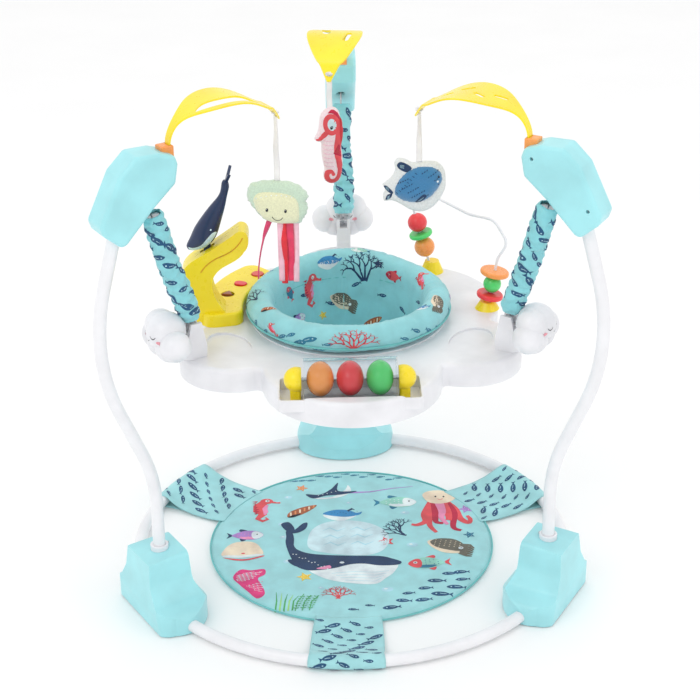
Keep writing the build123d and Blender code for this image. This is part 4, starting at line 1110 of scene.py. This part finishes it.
def make_seat():
    around = 220
    under, _ = resample(SEAT_UNDERSIDE, 60)
    section = seat_samples[::2] + under
    upper = len(seat_samples[::2])
    points, count = [], len(section)
    for j in range(around):
        angle = 360 * j / around
        for i, p in enumerate(section):
            way = (section[(i + 1) % count] - section[i - 1]).normalized()
            points.append(seat_shape(angle, (p.x, p.y), way * (1 if i < upper else -1), 0.0))
    mesh = mesh_from("seat_cover", points, ring_faces(around, count, closed=True), seat_cloth)
    seat = new_object("seat_cover", mesh, None)
    cutters = []
    for x in (-LEG_X, LEG_X):
        ring = [Vector((x + LEG_HALF_WIDTH * cos(tau * i / 48), 0,
                LEG_Z + LEG_HALF_HEIGHT * sin(tau * i / 48))) for i in range(48)]
        body = [p + Vector((0, y, 0)) for y in (-0.2, -0.03) for p in ring]
        sides = [(i, (i + 1) % 48, 48 + (i + 1) % 48, 48 + i) for i in range(48)]
        cutter = bpy.data.objects.new("leg_cutter", mesh_from("leg_cutter", body, sides + [tuple(range(47,
                -1, -1)), tuple(range(48, 96))]))
        bpy.context.scene.collection.objects.link(cutter)
        modifier = seat.modifiers.new("leg", "BOOLEAN")
        modifier.operation = "DIFFERENCE"
        modifier.object = cutter
        modifier.solver = "EXACT"
        cutters.append(cutter)
    evaluated = seat.evaluated_get(bpy.context.evaluated_depsgraph_get())
    seat.data = bpy.data.meshes.new_from_object(evaluated)
    seat.modifiers.clear()
    seat.data.polygons.foreach_set("use_smooth", [True] * len(seat.data.polygons))
    for cutter in cutters:
        bpy.data.objects.remove(cutter)
    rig.ride(seat, "seat")
    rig.slot(seat, "teal_print_fabric")
    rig.replaces(seat, "seat_fabric")
    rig.padded(seat, 0.75)
    # binding round the leg holes, piping on the outer edge and at the foot of the roll's inner face
    for side_name, x in (("left", -LEG_X), ("right", LEG_X)):
        rim = []
        for i in range(60):
            px, pz = x + LEG_HALF_WIDTH * cos(tau * i / 60), LEG_Z + LEG_HALF_HEIGHT * sin(tau * i / 60)
            share = next(k for k in range(len(seat_samples) - 1, 0, -1) if seat_samples[k].y >= pz)
            r = seat_samples[share].x + 0.0012
            rim.append(Vector((px, -sqrt(max(1e-6, r * r - px * px)), pz)))
        closed_tube(f"leg_binding_{side_name}", rim, 0.0032, piping_cloth, "seat")
    for name, r, z, thick, lift in (("seat_piping", 0.1808, 0.4975, 0.0019, 1.0),
            ("seat_inner_piping", 0.1346, 0.4930, 0.0013, 0.35)):
        rim = [at(3 * j, r, z + REAR_LIFT * rear_raise(3 * j) * 0.62 * lift) for j in range(120)]
        closed_tube(name, rim, thick, piping_cloth, "seat")


def closed_tube(name, path, thick, material, body, sides=8):
    """Round cord along a closed path."""
    points, faces, count = [], [], len(path)
    for i, p in enumerate(path):
        way = (path[(i + 1) % count] - path[i - 1]).normalized()
        out = way.cross(Vector((0, 0, 1)) if abs(way.z) < 0.8 else Vector((1, 0, 0))).normalized()
        over = way.cross(out)
        turns = [tau * k / sides for k in range(sides)]
        points += [p + out * (thick * cos(a)) + over * (thick * sin(a)) for a in turns]
    offset = min(range(sides), key=lambda k: (points[k] - points[(count - 1) * sides]).length)
    for i in range(count):
        a, b = i * sides, ((i + 1) % count) * sides
        twist = (sides - offset) % sides if i == count - 1 and offset else 0
        for k in range(sides):
            m = (k + (offset if twist else 0)) % sides
            faces.append((a + k, b + m, b + (m + 1) % sides, a + (k + 1) % sides))
    return new_object(name, mesh_from(name, points, faces, material), body, slot="teal_print_fabric")


class SeatPrint(Print):
    """Shapes given in metres about a spot (azimuth, share along the section)."""

    def spot(self, azimuth, share):
        self.centre = Vector((-radians(azimuth) * WALL_R, share))
        self.first = len(self.shapes)

    def close(self):
        """Turns heights in metres into shares along the section."""
        moved = []
        for colour, outline, order in self.shapes[self.first:]:
            moved.append((colour, [Vector((self.centre.x + p.x,
                    self.centre.y * seat_length - p.y)) for p in outline], order))
        self.shapes[self.first:] = moved


def print_seat():
    p = SeatPrint()

    def motif(azimuth, share, draw, *arguments, **words):
        p.spot(azimuth, share)
        draw(p, 0, 0, *arguments, **words)
        p.close()

    def on_roll(azimuth, share, draw, *arguments, spin=0.0, **words):
        """Motif that stands upright as seen from the front, anywhere on the roll."""
        motif(azimuth, share, draw, *arguments, radians(90 - azimuth) + spin, **words)

    motif(103, 0.275, puffer_print, 0.046, flip=False)
    motif(80, 0.215, reef_fish, 0.030, 0.0, ("mint", "white", "teal", "white"))
    for k in range(4):
        motif(77 - k, 0.345, branch_coral, 0.056, ["navy"], 0.9 - 0.45 * k, 0.9)
    motif(64.7, 0.27, star_fish, 0.020, "navy")
    motif(50.4, 0.30, reef_fish, 0.034, 0.1, ("coral", "crimson", "crimson", "coral"))
    motif(119.7, 0.375, sea_horse_print, 0.056)
    motif(92, 0.447, cuttlefish, 0.058, -0.25)
    motif(111, 0.50, star_fish, 0.018, "yellow")
    motif(136, 0.49, reef_fish, 0.042, 0.2, ("purple", "white", "navy", "pink"), flip=True)
    motif(67, 0.545, shell, 0.048, 0.45)
    motif(142, 0.345, reef_fish, 0.032, -1.2, ("teal", "coral", "coral", "teal"))
    for k in range(14):
        motif(200 + 22 * k, 0.40 + 0.05 * sin(2.2 * k), little_fish, 0.019, 0.5 * sin(1.9 * k),
                flip=k % 2 == 0)
        motif(190 + 24 * k, 0.54 + 0.04 * sin(1.3 * k), little_fish, 0.016, 0.6 * sin(2.9 * k),
                flip=k % 2 == 1)
    for k in range(5):
        on_roll(271, 0.088, branch_coral, 0.044 - 0.006 * (k % 2), ["coral", "crimson"], spin=0.44 * (k - 2),
                spread=0.9)
    for k in range(3):
        on_roll(192, 0.185, branch_coral, 0.042, ["navy"], spin=0.5 * k, spread=0.9)
    on_roll(209, 0.20, shell, 0.030)
    on_roll(222, 0.12, sea_horse_print, 0.024)
    on_roll(19, 0.25, sea_horse_print, 0.042)
    on_roll(337, 0.18, cuttlefish, 0.046, spin=-1.2)
    on_roll(325, 0.22, puffer_print, 0.030)
    on_roll(150, 0.16, puffer_print, 0.034)
    on_roll(0, 0.12, star_fish, 0.020, "purple")
    on_roll(38, 0.12, shell, 0.034)
    on_roll(120, 0.12, cuttlefish, 0.040)
    for azimuth, share, length in ((229, 0.105, 0.017), (235, 0.125, 0.016), (240, 0.095, 0.026),
            (246, 0.12, 0.025), (252, 0.075, 0.019), (257, 0.11, 0.015), (300, 0.105, 0.015),
            (308, 0.125, 0.017), (318, 0.10, 0.018), (326, 0.09, 0.014), (345, 0.10, 0.02),
            (15, 0.10, 0.018), (55, 0.11, 0.02), (75, 0.10, 0.018), (98, 0.12, 0.02), (140, 0.10, 0.018),
            (165, 0.12, 0.02), (183, 0.10, 0.018), (205, 0.10, 0.02), (215, 0.09, 0.016)):
        on_roll(azimuth, share, little_fish, length, flip=True, body="teal")

    def surface(u, v, lift=0.0):
        angle = -u / WALL_R * 180 / pi
        point, way = along_profile(seat_samples, v / seat_length)
        return seat_shape(angle, (point.x, point.y), way, lift)

    p.lay("seat_print", surface, "seat", lift=0.0004, cell=0.004)


# ---------------------------------------------------------------- hanging toys
HANG = {
    "jellyfish": ("left", Vector((-0.1195, -0.069, 0.724)), 0.113),
    "puffer": ("right", Vector((0.117, -0.069, 0.748)), 0.085),
    "seahorse": ("rear", Vector((-0.028, 0.1397, 0.750)), 0.066),
}


def arch_tip(leg):
    """Where the toy hangs from its arch."""
    root = unit(LEGS[leg]) * ARCH_ROOT_R
    return root - unit(LEGS[leg] + ARCH_YAW[leg]) * ARCH_REACH + Vector((0, 0, TIP_Z))


def make_ribbon(toy):
    leg, centre, length = HANG[toy]
    tip = arch_tip(leg)
    curve = bpy.data.curves.new(f"{toy}_ribbon_line", "CURVE")
    curve.dimensions = "3D"
    curve.resolution_u = 16
    spline = curve.splines.new("NURBS")
    stops = [(0, 0), (0.0008, 0.25), (-0.0006, 0.5), (0.0007, 0.75), (0, 1)]
    spline.points.add(len(stops) - 1)
    for stop, (side_step, share) in zip(spline.points, stops):
        stop.co = (tip.x + side_step, tip.y, tip.z - length * share, 1)
    spline.order_u = 3
    spline.use_endpoint_u = True
    line = bpy.data.objects.new(f"{toy}_ribbon_line", curve)
    bpy.context.scene.collection.objects.link(line)
    path = [v.co.copy() for v in bpy.data.meshes.new_from_object(line).vertices]
    bpy.data.objects.remove(line)
    points, last = [], len(path) - 1
    tangent, half, thick = across(LEGS[leg]), 0.005, 0.00045
    for i, p in enumerate(path):
        share = i / last
        wide = tangent.lerp(Vector((1 if tangent.x >= 0 else -1, 0, 0)), share).normalized()
        out = wide.cross(Vector((0, 0, 1)))
        for a, b in STRIP_SECTION:
            curl = 0.0004 * sin(9 * share + half * a * 500)
            points.append(p + wide * (half * a) + out * (thick * b + curl))
    strip = flat_strip(f"{toy}_hanging_ribbon", points, ribbon_cloth, f"{toy}_toy", "white_ribbon")
    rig.replaces(strip, f"{toy}_ribbon")
    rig.cord(strip, exit=tuple(path[0]), length=length, diameter=0.010, far_end="object", stiffness="limp",
            lay="hanging", path=[tuple(p) for p in path])
    # knot that keeps the ribbon from slipping back through the arch
    knot = bmesh.new()
    bmesh.ops.create_uvsphere(knot, u_segments=24, v_segments=16, radius=0.0062)
    for v in knot.verts:
        swirl = 0.0009 * sin(3 * v.co.x * 700 + 2 * v.co.z * 900) + 0.0006 * noise.noise(v.co * 500)
        v.co = v.co * (1 + swirl / 0.0062)
        v.co.z *= 0.6
        v.co += tip + Vector((0, 0, 0.0068))
    mesh = bpy.data.meshes.new(f"{toy}_ribbon_knot")
    knot.to_mesh(mesh)
    knot.free()
    mesh.materials.append(ribbon_cloth)
    new_object(f"{toy}_ribbon_knot", mesh, "stand", slot="white_ribbon")


STRIP_SECTION = [(-1, -1), (-0.5, -1), (0.5, -1), (1, -1), (1, 1), (0.5, 1), (-0.5, 1), (-1, 1)]


def flat_strip(name, points, material, body, slot):
    """Thin closed strip from rows of points, one row per section."""
    sides = len(STRIP_SECTION)
    faces = turned(ring_faces(len(points) // sides - 1, sides))
    faces += [tuple(range(sides - 1, -1, -1)), tuple(range(len(points) - sides, len(points)))]
    return new_object(name, mesh_from(name, points, faces, material), body, slot=slot)


class Pillow:
    """Stuffed shape between two faces sewn round an outline in the plane facing the front."""

    def __init__(self, centre, outline, half, swell=0.016):
        self.centre, self.half, self.swell = centre, half, swell
        self.outline = [Vector(p) for p in outline]

    def rim_distance(self, p):
        best = 1.0
        count = len(self.outline)
        for i in range(count):
            a, b = self.outline[i], self.outline[(i + 1) % count]
            way = b - a
            share = max(0.0, min(1.0, (p - a).dot(way) / max(1e-12, way.length_squared)))
            best = min(best, (a + way * share - p).length)
        return best

    def height(self, p, side=1):
        depth = min(1.0, self.rim_distance(p) / self.swell)
        puckers = 0.0006 * noise.noise(Vector((p.x * 260, p.y * 260, side))) * (1 - depth) * depth * 4
        soft = 0.0006 * noise.noise(Vector((p.x * 60, p.y * 60, 5 + side)))
        return self.half * sqrt(max(0.0, 1 - (1 - depth) ** 2)) + (puckers + soft) * depth

    def surface(self, u, v, lift=0.0):
        p = Vector((u, v))
        return self.centre + Vector((u, -self.height(p) - lift, v))

    def build(self, name, material, body, slot, step=0.0028):
        low = Vector((min(p.x for p in self.outline), min(p.y for p in self.outline)))
        high = Vector((max(p.x for p in self.outline), max(p.y for p in self.outline)))
        spots, rim = [], list(self.outline)
        rows, columns = int((high.y - low.y) / step) + 1, int((high.x - low.x) / step) + 1
        for i in range(rows):
            for j in range(columns):
                p = low + Vector(((j + 0.5 * (i % 2)) * step, i * step))
                if self.inside(p) and self.rim_distance(p) > step * 0.55:
                    spots.append(p)
        count = len(rim)
        edges = [(i, (i + 1) % count) for i in range(count)]
        flat, _, triangles, *_ = geometry.delaunay_2d_cdt(rim + spots, edges, [], 1, 1e-6)
        points = [self.centre + Vector((p.x, -self.height(p), p.y)) for p in flat]
        on_rim = [self.rim_distance(p) < 1e-5 for p in flat]
        back, where = [], []
        for i, p in enumerate(flat):
            if on_rim[i]:
                where.append(i)
            else:
                where.append(len(flat) + len(back))
                back.append(self.centre + Vector((p.x, self.height(p, 2), p.y)))
        faces = [tuple(t) for t in triangles] + [tuple(where[k] for k in reversed(t)) for t in triangles]
        return new_object(name, mesh_from(name, points + back, faces, material), body, slot=slot)

    def inside(self, p):
        hit, count = False, len(self.outline)
        for i in range(count):
            a, b = self.outline[i], self.outline[(i + 1) % count]
            if (a.y > p.y) != (b.y > p.y) and p.x < (b.x - a.x) * (p.y - a.y) / (b.y - a.y) + a.x:
                hit = not hit
        return hit


JELLY_BACK = [(-52, 13), (-45, 32), (-24, 38), (3, 38), (30, 32), (46, 19), (51, 8), (47, 1), (50, -9),
        (48, -20), (42, -32), (35, -40), (3, -38), (-20, -33), (-35, -17), (-46, -1)]
JELLY_FACE = [(-44, 8), (-37, 21), (-20, 25), (5, 23), (24, 17), (36, 6), (39, -12), (38, -26), (33, -37),
        (2, -38), (-19, -32), (-35, -16)]
PUFFER_BACK = [(-59, 4), (-53, 9), (-44, 17), (-38, 29), (-39, 42), (-33, 50), (-20, 48), (-8, 42), (10, 44),
        (32, 42), (44, 30), (48, 12), (46, -10), (30, -36), (9, -47), (-12, -43), (-26, -34), (-42, -26),
        (-56, -26), (-58, -14), (-55, -5)]
PUFFER_BODY = [(-41, -8), (-37, 7), (-26, 23), (-12, 33), (6, 38), (28, 36), (40, 26), (43, 11), (34, -7),
        (20, -22), (-1, -29), (-23, -26), (-37, -17)]
HORSE_BACK = [(-26, 15), (-19, 30), (-15, 56), (-8, 67), (4, 73), (14, 70), (20, 58), (22, 26), (22, -1),
        (24, -21), (23, -45), (19, -62), (11, -69), (0, -70), (-9, -64), (-11, -52), (-9, -42), (-12, -27),
        (-14, -7), (-14, 6), (-21, 9)]


def make_jellyfish():
    body, centre = "jellyfish_toy", HANG["jellyfish"][1]
    back = Pillow(centre + Vector((0, 0.002, 0)), scalloped(smooth_outline(metres(JELLY_BACK), 12)),
            0.0105, 0.014)
    cap = back.build("jellyfish_ruffle", plush("mint_plush", (204, 226, 204)), body, "green_plush")
    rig.replaces(cap, "jellyfish_plush")
    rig.padded(cap, 0.6)
    front = Pillow(centre, smooth_outline(metres(JELLY_FACE), 8), 0.0158, 0.020)
    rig.padded(front.build("jellyfish_cap", plush("cream_plush", (236, 236, 198)), body, "green_plush"), 0.85)
    face = Print()
    face.place(0, 0)
    for x, z in ((-0.0185, -0.0080), (0.0128, -0.0105)):
        face.dot("black", x, z, 0.0022, 0.0033, -0.15)
        face.dot("white", x - 0.0006, z + 0.0012, 0.0006, 0.0007, count=6)
    face.line("black", smooth_line(metres([(-10, -20), (-6, -26), (-1, -28), (4, -26.5), (8, -22)]), 4),
            0.0010)
    for k in range(9):
        face.dot("white", -0.036 + 0.0085 * k, 0.017 - 0.0001 * (k - 3.5) ** 2 * 4, 0.0011, 0.0009, count=8)
    face.lay("jellyfish_face", front.surface, body, lift=0.0004, cell=0.003, slot="green_plush")
    # tentacles
    strips = [("a", 0.003, 0.112, 0.0100, "light_pink", (250, 190, 206), 0.02),
            ("b", 0.0095, 0.118, 0.0105, "red", (236, 32, 48), -0.03),
            ("c", 0.0195, 0.113, 0.0120, "crimson", (232, 52, 96), 0.03),
            ("d", 0.0300, 0.115, 0.0100, "pale_pink", (252, 200, 214), -0.04),
            ("e", -0.0150, 0.108, 0.0100, "magenta", (226, 62, 112), 1.0)]
    for number, (tag, dx, length, wide, tint, rgb, sway) in enumerate(strips):
        material = satin(f"{tint}_satin", rgb)
        points, rows = [], 44
        for i in range(rows):
            share = i / (rows - 1)
            twist = 1.35 * sway * min(1.0, 3 * share) + 0.12 * sin(5 * share + number)
            drift = -0.021 * sway * sin(0.5 * pi * share) if sway > 0.5 else 0.03 * sway * share
            mid = centre + Vector((dx + drift,
                    0.0012 * (number - 2) + 0.0015 * sin(6 * share + 1.7 * number),
                    -0.034 - length * share * 0.985))
            axis = Vector((cos(twist), sin(twist), 0))
            out = Vector((-sin(twist), cos(twist), 0))
            for side, face in STRIP_SECTION:
                a = 0.33 * (1 if side > 0 else -1) if abs(side) < 1 else side
                points.append(mid + axis * (wide / 2 * a) + out * (0.0005 * face + 0.0012 * a * a))
        strip = flat_strip(f"jellyfish_tentacle_{tag}", points, material, body, "pink_satin")
        if tag == "a":
            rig.replaces(strip, "jellyfish_tentacles")
        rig.sheet(strip, (wide, length), "hung", ["arch_left"])


def make_puffer():
    body, centre = "puffer_toy", HANG["puffer"][1]
    back = Pillow(centre + Vector((0, 0.002, 0)), smooth_outline(metres(PUFFER_BACK), 6), 0.0085, 0.012)
    border = back.build("puffer_backing", plush("pale_grey_plush", (226, 230, 230)), body, "blue_plush")
    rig.replaces(border, "puffer_plush")
    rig.padded(border, 0.5)
    front = Pillow(centre, smooth_outline(metres(PUFFER_BODY), 8), 0.0165, 0.022)
    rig.padded(front.build("puffer_body", plush("blue_plush", (38, 122, 174)), body, "blue_plush"), 0.85)
    p = Print()
    p.place(0, 0)
    for outline in ([(-35, 39), (-30, 45), (-20, 42), (-10, 34), (-18, 27), (-30, 32)], [(-57, 2), (-52, 3),
            (-42, -7), (-44, -11), (-54, -4)], [(-54, -22), (-51, -13), (-43, -11), (-46, -19)]):
        p.layer = 0
        p.add("navy", smooth_outline(metres(outline), 4))
        middle = sum((Vector(q) for q in metres(outline)), Vector((0, 0))) / len(outline)
        for k in (-1, 0, 1):
            first = middle + (Vector(metres(outline)[0]) - middle) * 0.55 + Vector((0, 0.002 * k))
            p.line("sky", [first, middle + Vector((0.001, 0.0022 * k))], 0.0006)
    p.lay("puffer_fins", back.surface, body, lift=0.0004, cell=0.003, slot="blue_plush")
    p = Print()
    for k in range(44):
        x, y = -34 + 72 * ((k * 0.618) % 1), -24 + 56 * ((k * 0.37) % 1)
        if front.inside(Vector((x / 1000, y / 1000))):
            p.place(x / 1000, y / 1000, 1.0, 0.9 + 0.3 * sin(k))
            p.dot("navy", 0, 0, 0.0017, 0.0008, count=8)
    for k in range(9):
        p.place(*Vector((-0.041 + 0.0045 * k, -0.012 + 0.0049 * k)), 1.0, -0.8 + 0.05 * k)
        p.dot("navy", 0.002, 0, 0.0024, 0.0006, count=8)
    p.place(0, 0)
    p.patch("navy", [(-4, -26), (-1, -20), (9, -10), (15, -13), (12, -19), (4, -27)], 4)
    for k in range(3):
        p.line("sky", metres([(0 + 3 * k, -24 + 2.4 * k), (6 + 2 * k, -20 + 2 * k)]), 0.0006)
    p.dot("white", 0.0335, 0.0120, 0.0020, 0.0020, count=12)
    p.dot("black", 0.0345, 0.0200, 0.0012, 0.0022, count=12)
    p.lay("puffer_print", front.surface, body, lift=0.0004, cell=0.003, slot="blue_plush")


def make_seahorse():
    body, centre = "seahorse_toy", HANG["seahorse"][1]
    back = Pillow(centre, smooth_outline(metres(HORSE_BACK), 6), 0.0112, 0.013)
    horse = back.build("seahorse_body", plush("pale_pink_plush", (250, 224, 230)), body, "coral_plush")
    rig.replaces(horse, "seahorse_plush")
    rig.padded(horse, 0.8)
    p = Print()
    p.place(0, 0)
    spine = smooth_line(metres([(12, 64), (18, 50), (19, 36), (18, 18), (15, -3), (17, -22), (19, -40),
            (16, -56), (7, -64), (-1, -62), (-5, -54), (-2, -46), (5, -46), (8, -53)]), 5)
    widths = [0.008, 0.011, 0.013, 0.013, 0.012, 0.010, 0.008, 0.0085, 0.010, 0.010, 0.009, 0.008, 0.006,
            0.004]
    p.line("coral", spine, [widths[min(int(i / 5), 13)] for i in range(len(spine))])
    p.line("coral", smooth_line(metres([(-4, 28), (-10, 22), (-16, 16), (-23, 13)]), 4),
            [0.009] * 5 + [0.007] * 4 + [0.0045] * 8)
    p.dot("coral", 0.0045, 0.0430, 0.0145, 0.0200, 0.1, 26)
    p.dot("foam", 0.0060, 0.0430, 0.0080, 0.0112, 0.1)
    p.dot("black", 0.0052, 0.0375, 0.0026, 0.0036, -0.4, 12)
    p.dot("foam", 0.0058, 0.0388, 0.0008, 0.0010, count=6)
    p.patch("crimson", [(-1, 64), (5, 70), (12, 68), (18, 60), (19, 52), (12, 61), (5, 64)], 4)
    p.patch("crimson", [(8, -11), (12, -3), (18, 6), (21, -5), (22, -17), (15, -14)], 3)
    for k in range(4):
        p.line("brown", metres([(11 + 2 * k, -9 - k), (16 + k, 0 - 3 * k)]), 0.0006)
    for k in range(7):
        p.line("pink", metres([(-10, 14 - 8 * k), (-2, 12 - 8 * k), (8, 13 - 8 * k)]), 0.0005)
    p.lay("seahorse_print", back.surface, body, lift=0.0004, cell=0.003, slot="coral_plush")


def scalloped(outline):
    """Outline with a row of soft scallops along its upper right side."""
    out, count = [], len(outline)
    for i, p in enumerate(outline):
        way = (outline[(i + 1) % count] - outline[i - 1]).normalized()
        bulge = 0.0016 * abs(sin(i * 0.33)) if p.y > -0.03 and p.x > -0.05 else 0.0
        out.append(p + Vector((-way.y, way.x)) * bulge)
    return out


# ---------------------------------------------------------------- faces and marks on hard parts
def on_node(name, origin, u_way, v_way, inward):
    """Surface function that drops plane points onto a CAD node along a direction."""
    mesh = nodes[name].data
    tree = BVHTree.FromPolygons([v.co for v in mesh.vertices], [p.vertices[:] for p in mesh.polygons])

    def surface(u, v, lift=0.0):
        start = origin + u_way * u + v_way * v - inward * 0.3
        hit, normal, _, _ = tree.ray_cast(start, inward)
        if hit is None:
            hit, normal, _, _ = tree.find_nearest(origin + u_way * u + v_way * v)
        if normal.dot(inward) > 0:
            normal = -normal
        return hit + normal * lift
    return surface


def print_clouds():
    for leg, azimuth in LEGS.items():
        for facing_name, sign in (("outer", 1), ("inner", -1)):
            p = Print()
            p.place(0, 0)
            for x in (-0.013, 0.013):
                p.line("black", [(x - 0.0055, 0.003), (x - 0.003, -0.0005), (x, -0.0018),
                        (x + 0.003, -0.0005), (x + 0.0055, 0.003)], [0.0006, 0.0013, 0.0016, 0.0013, 0.0006])
                p.dot("blush", x * 1.75, -0.007, 0.0048, 0.0032)
            p.line("black", [(-0.004, -0.006), (0.0, -0.0085), (0.004, -0.006)], [0.0006, 0.0013, 0.0006])
            way = unit(azimuth) * -sign
            surface = on_node(f"cloud_{leg}", at(azimuth, CLOUD_R, CLOUD_Z + 0.008),
                    across(azimuth) * sign, Vector((0, 0, 1)), way)
            p.lay(f"cloud_face_{leg}_{facing_name}", surface, "tray", lift=0.0003, cell=0.003, slot=None)


def print_whale():
    for side_name, sign in (("near", -1), ("far", 1)):
        p = Print()
        p.place(0, 0)
        p.patch("foam", [(-278.5, 622.5), (-269, 622.8), (-256, 629), (-245, 642), (-235, 652), (-228, 651),
                (-236, 637), (-248, 623), (-260, 615), (-274, 617)], 5)
        for k in range(4):
            p.line("sky", [(-0.2720 + 0.006 * k, 0.6200 - 0.0006 * k),
                    (-0.2540 + 0.005 * k, 0.6265 + 0.002 * k), (-0.2400 + 0.002 * k, 0.6420 + 0.001 * k)],
                    0.0005)
        p.dot("foam", -0.2375, 0.6585, 0.0016, 0.0016, count=10)
        surface = on_node("whale", Vector((0, WAVE_Y, 0)), Vector((1, 0, 0)), Vector((0, 0, 1)),
                Vector((0, -sign, 0)))
        p.lay(f"whale_markings_{side_name}", surface, "whale", lift=0.0003, cell=0.003, slot=None)
        # painted shade: a darker line laid flat on both faces of the wave toy stands in for the shade in its furrow
        painted_groove_shade = Print()
        painted_groove_shade.place(0, 0)
        painted_groove_shade.line("amber", smooth_line([(-0.2586, 0.5803), (-0.2478, 0.5939), (-0.2319, 0.6055),
                (-0.2138, 0.6138), (-0.2007, 0.6218), (-0.1890, 0.6339), (-0.1830, 0.6440)], 5),
                [0.0008] + [0.0022] * 30)
        surface = on_node("wave_toy_base", Vector((0, WAVE_Y, 0)), Vector((1, 0, 0)), Vector((0, 0, 1)),
                Vector((0, -sign, 0)))
        painted_groove_shade.lay(f"wave_groove_{side_name}", surface, "tray", lift=0.0002, cell=0.003, slot=None)


make_springs()
for toy in HANG:
    make_ribbon(toy)
make_jellyfish()
make_puffer()
make_seahorse()
make_mat()
make_straps()
print_mat()
make_sleeves()
make_seat()
print_seat()
print_clouds()
print_whale()

seen_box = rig.bounds()
with open("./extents.json", "w") as out:
    json.dump({"cad": [list(corner) for corner in cad_box], "seen": [list(corner) for corner in seen_box]},
            out)
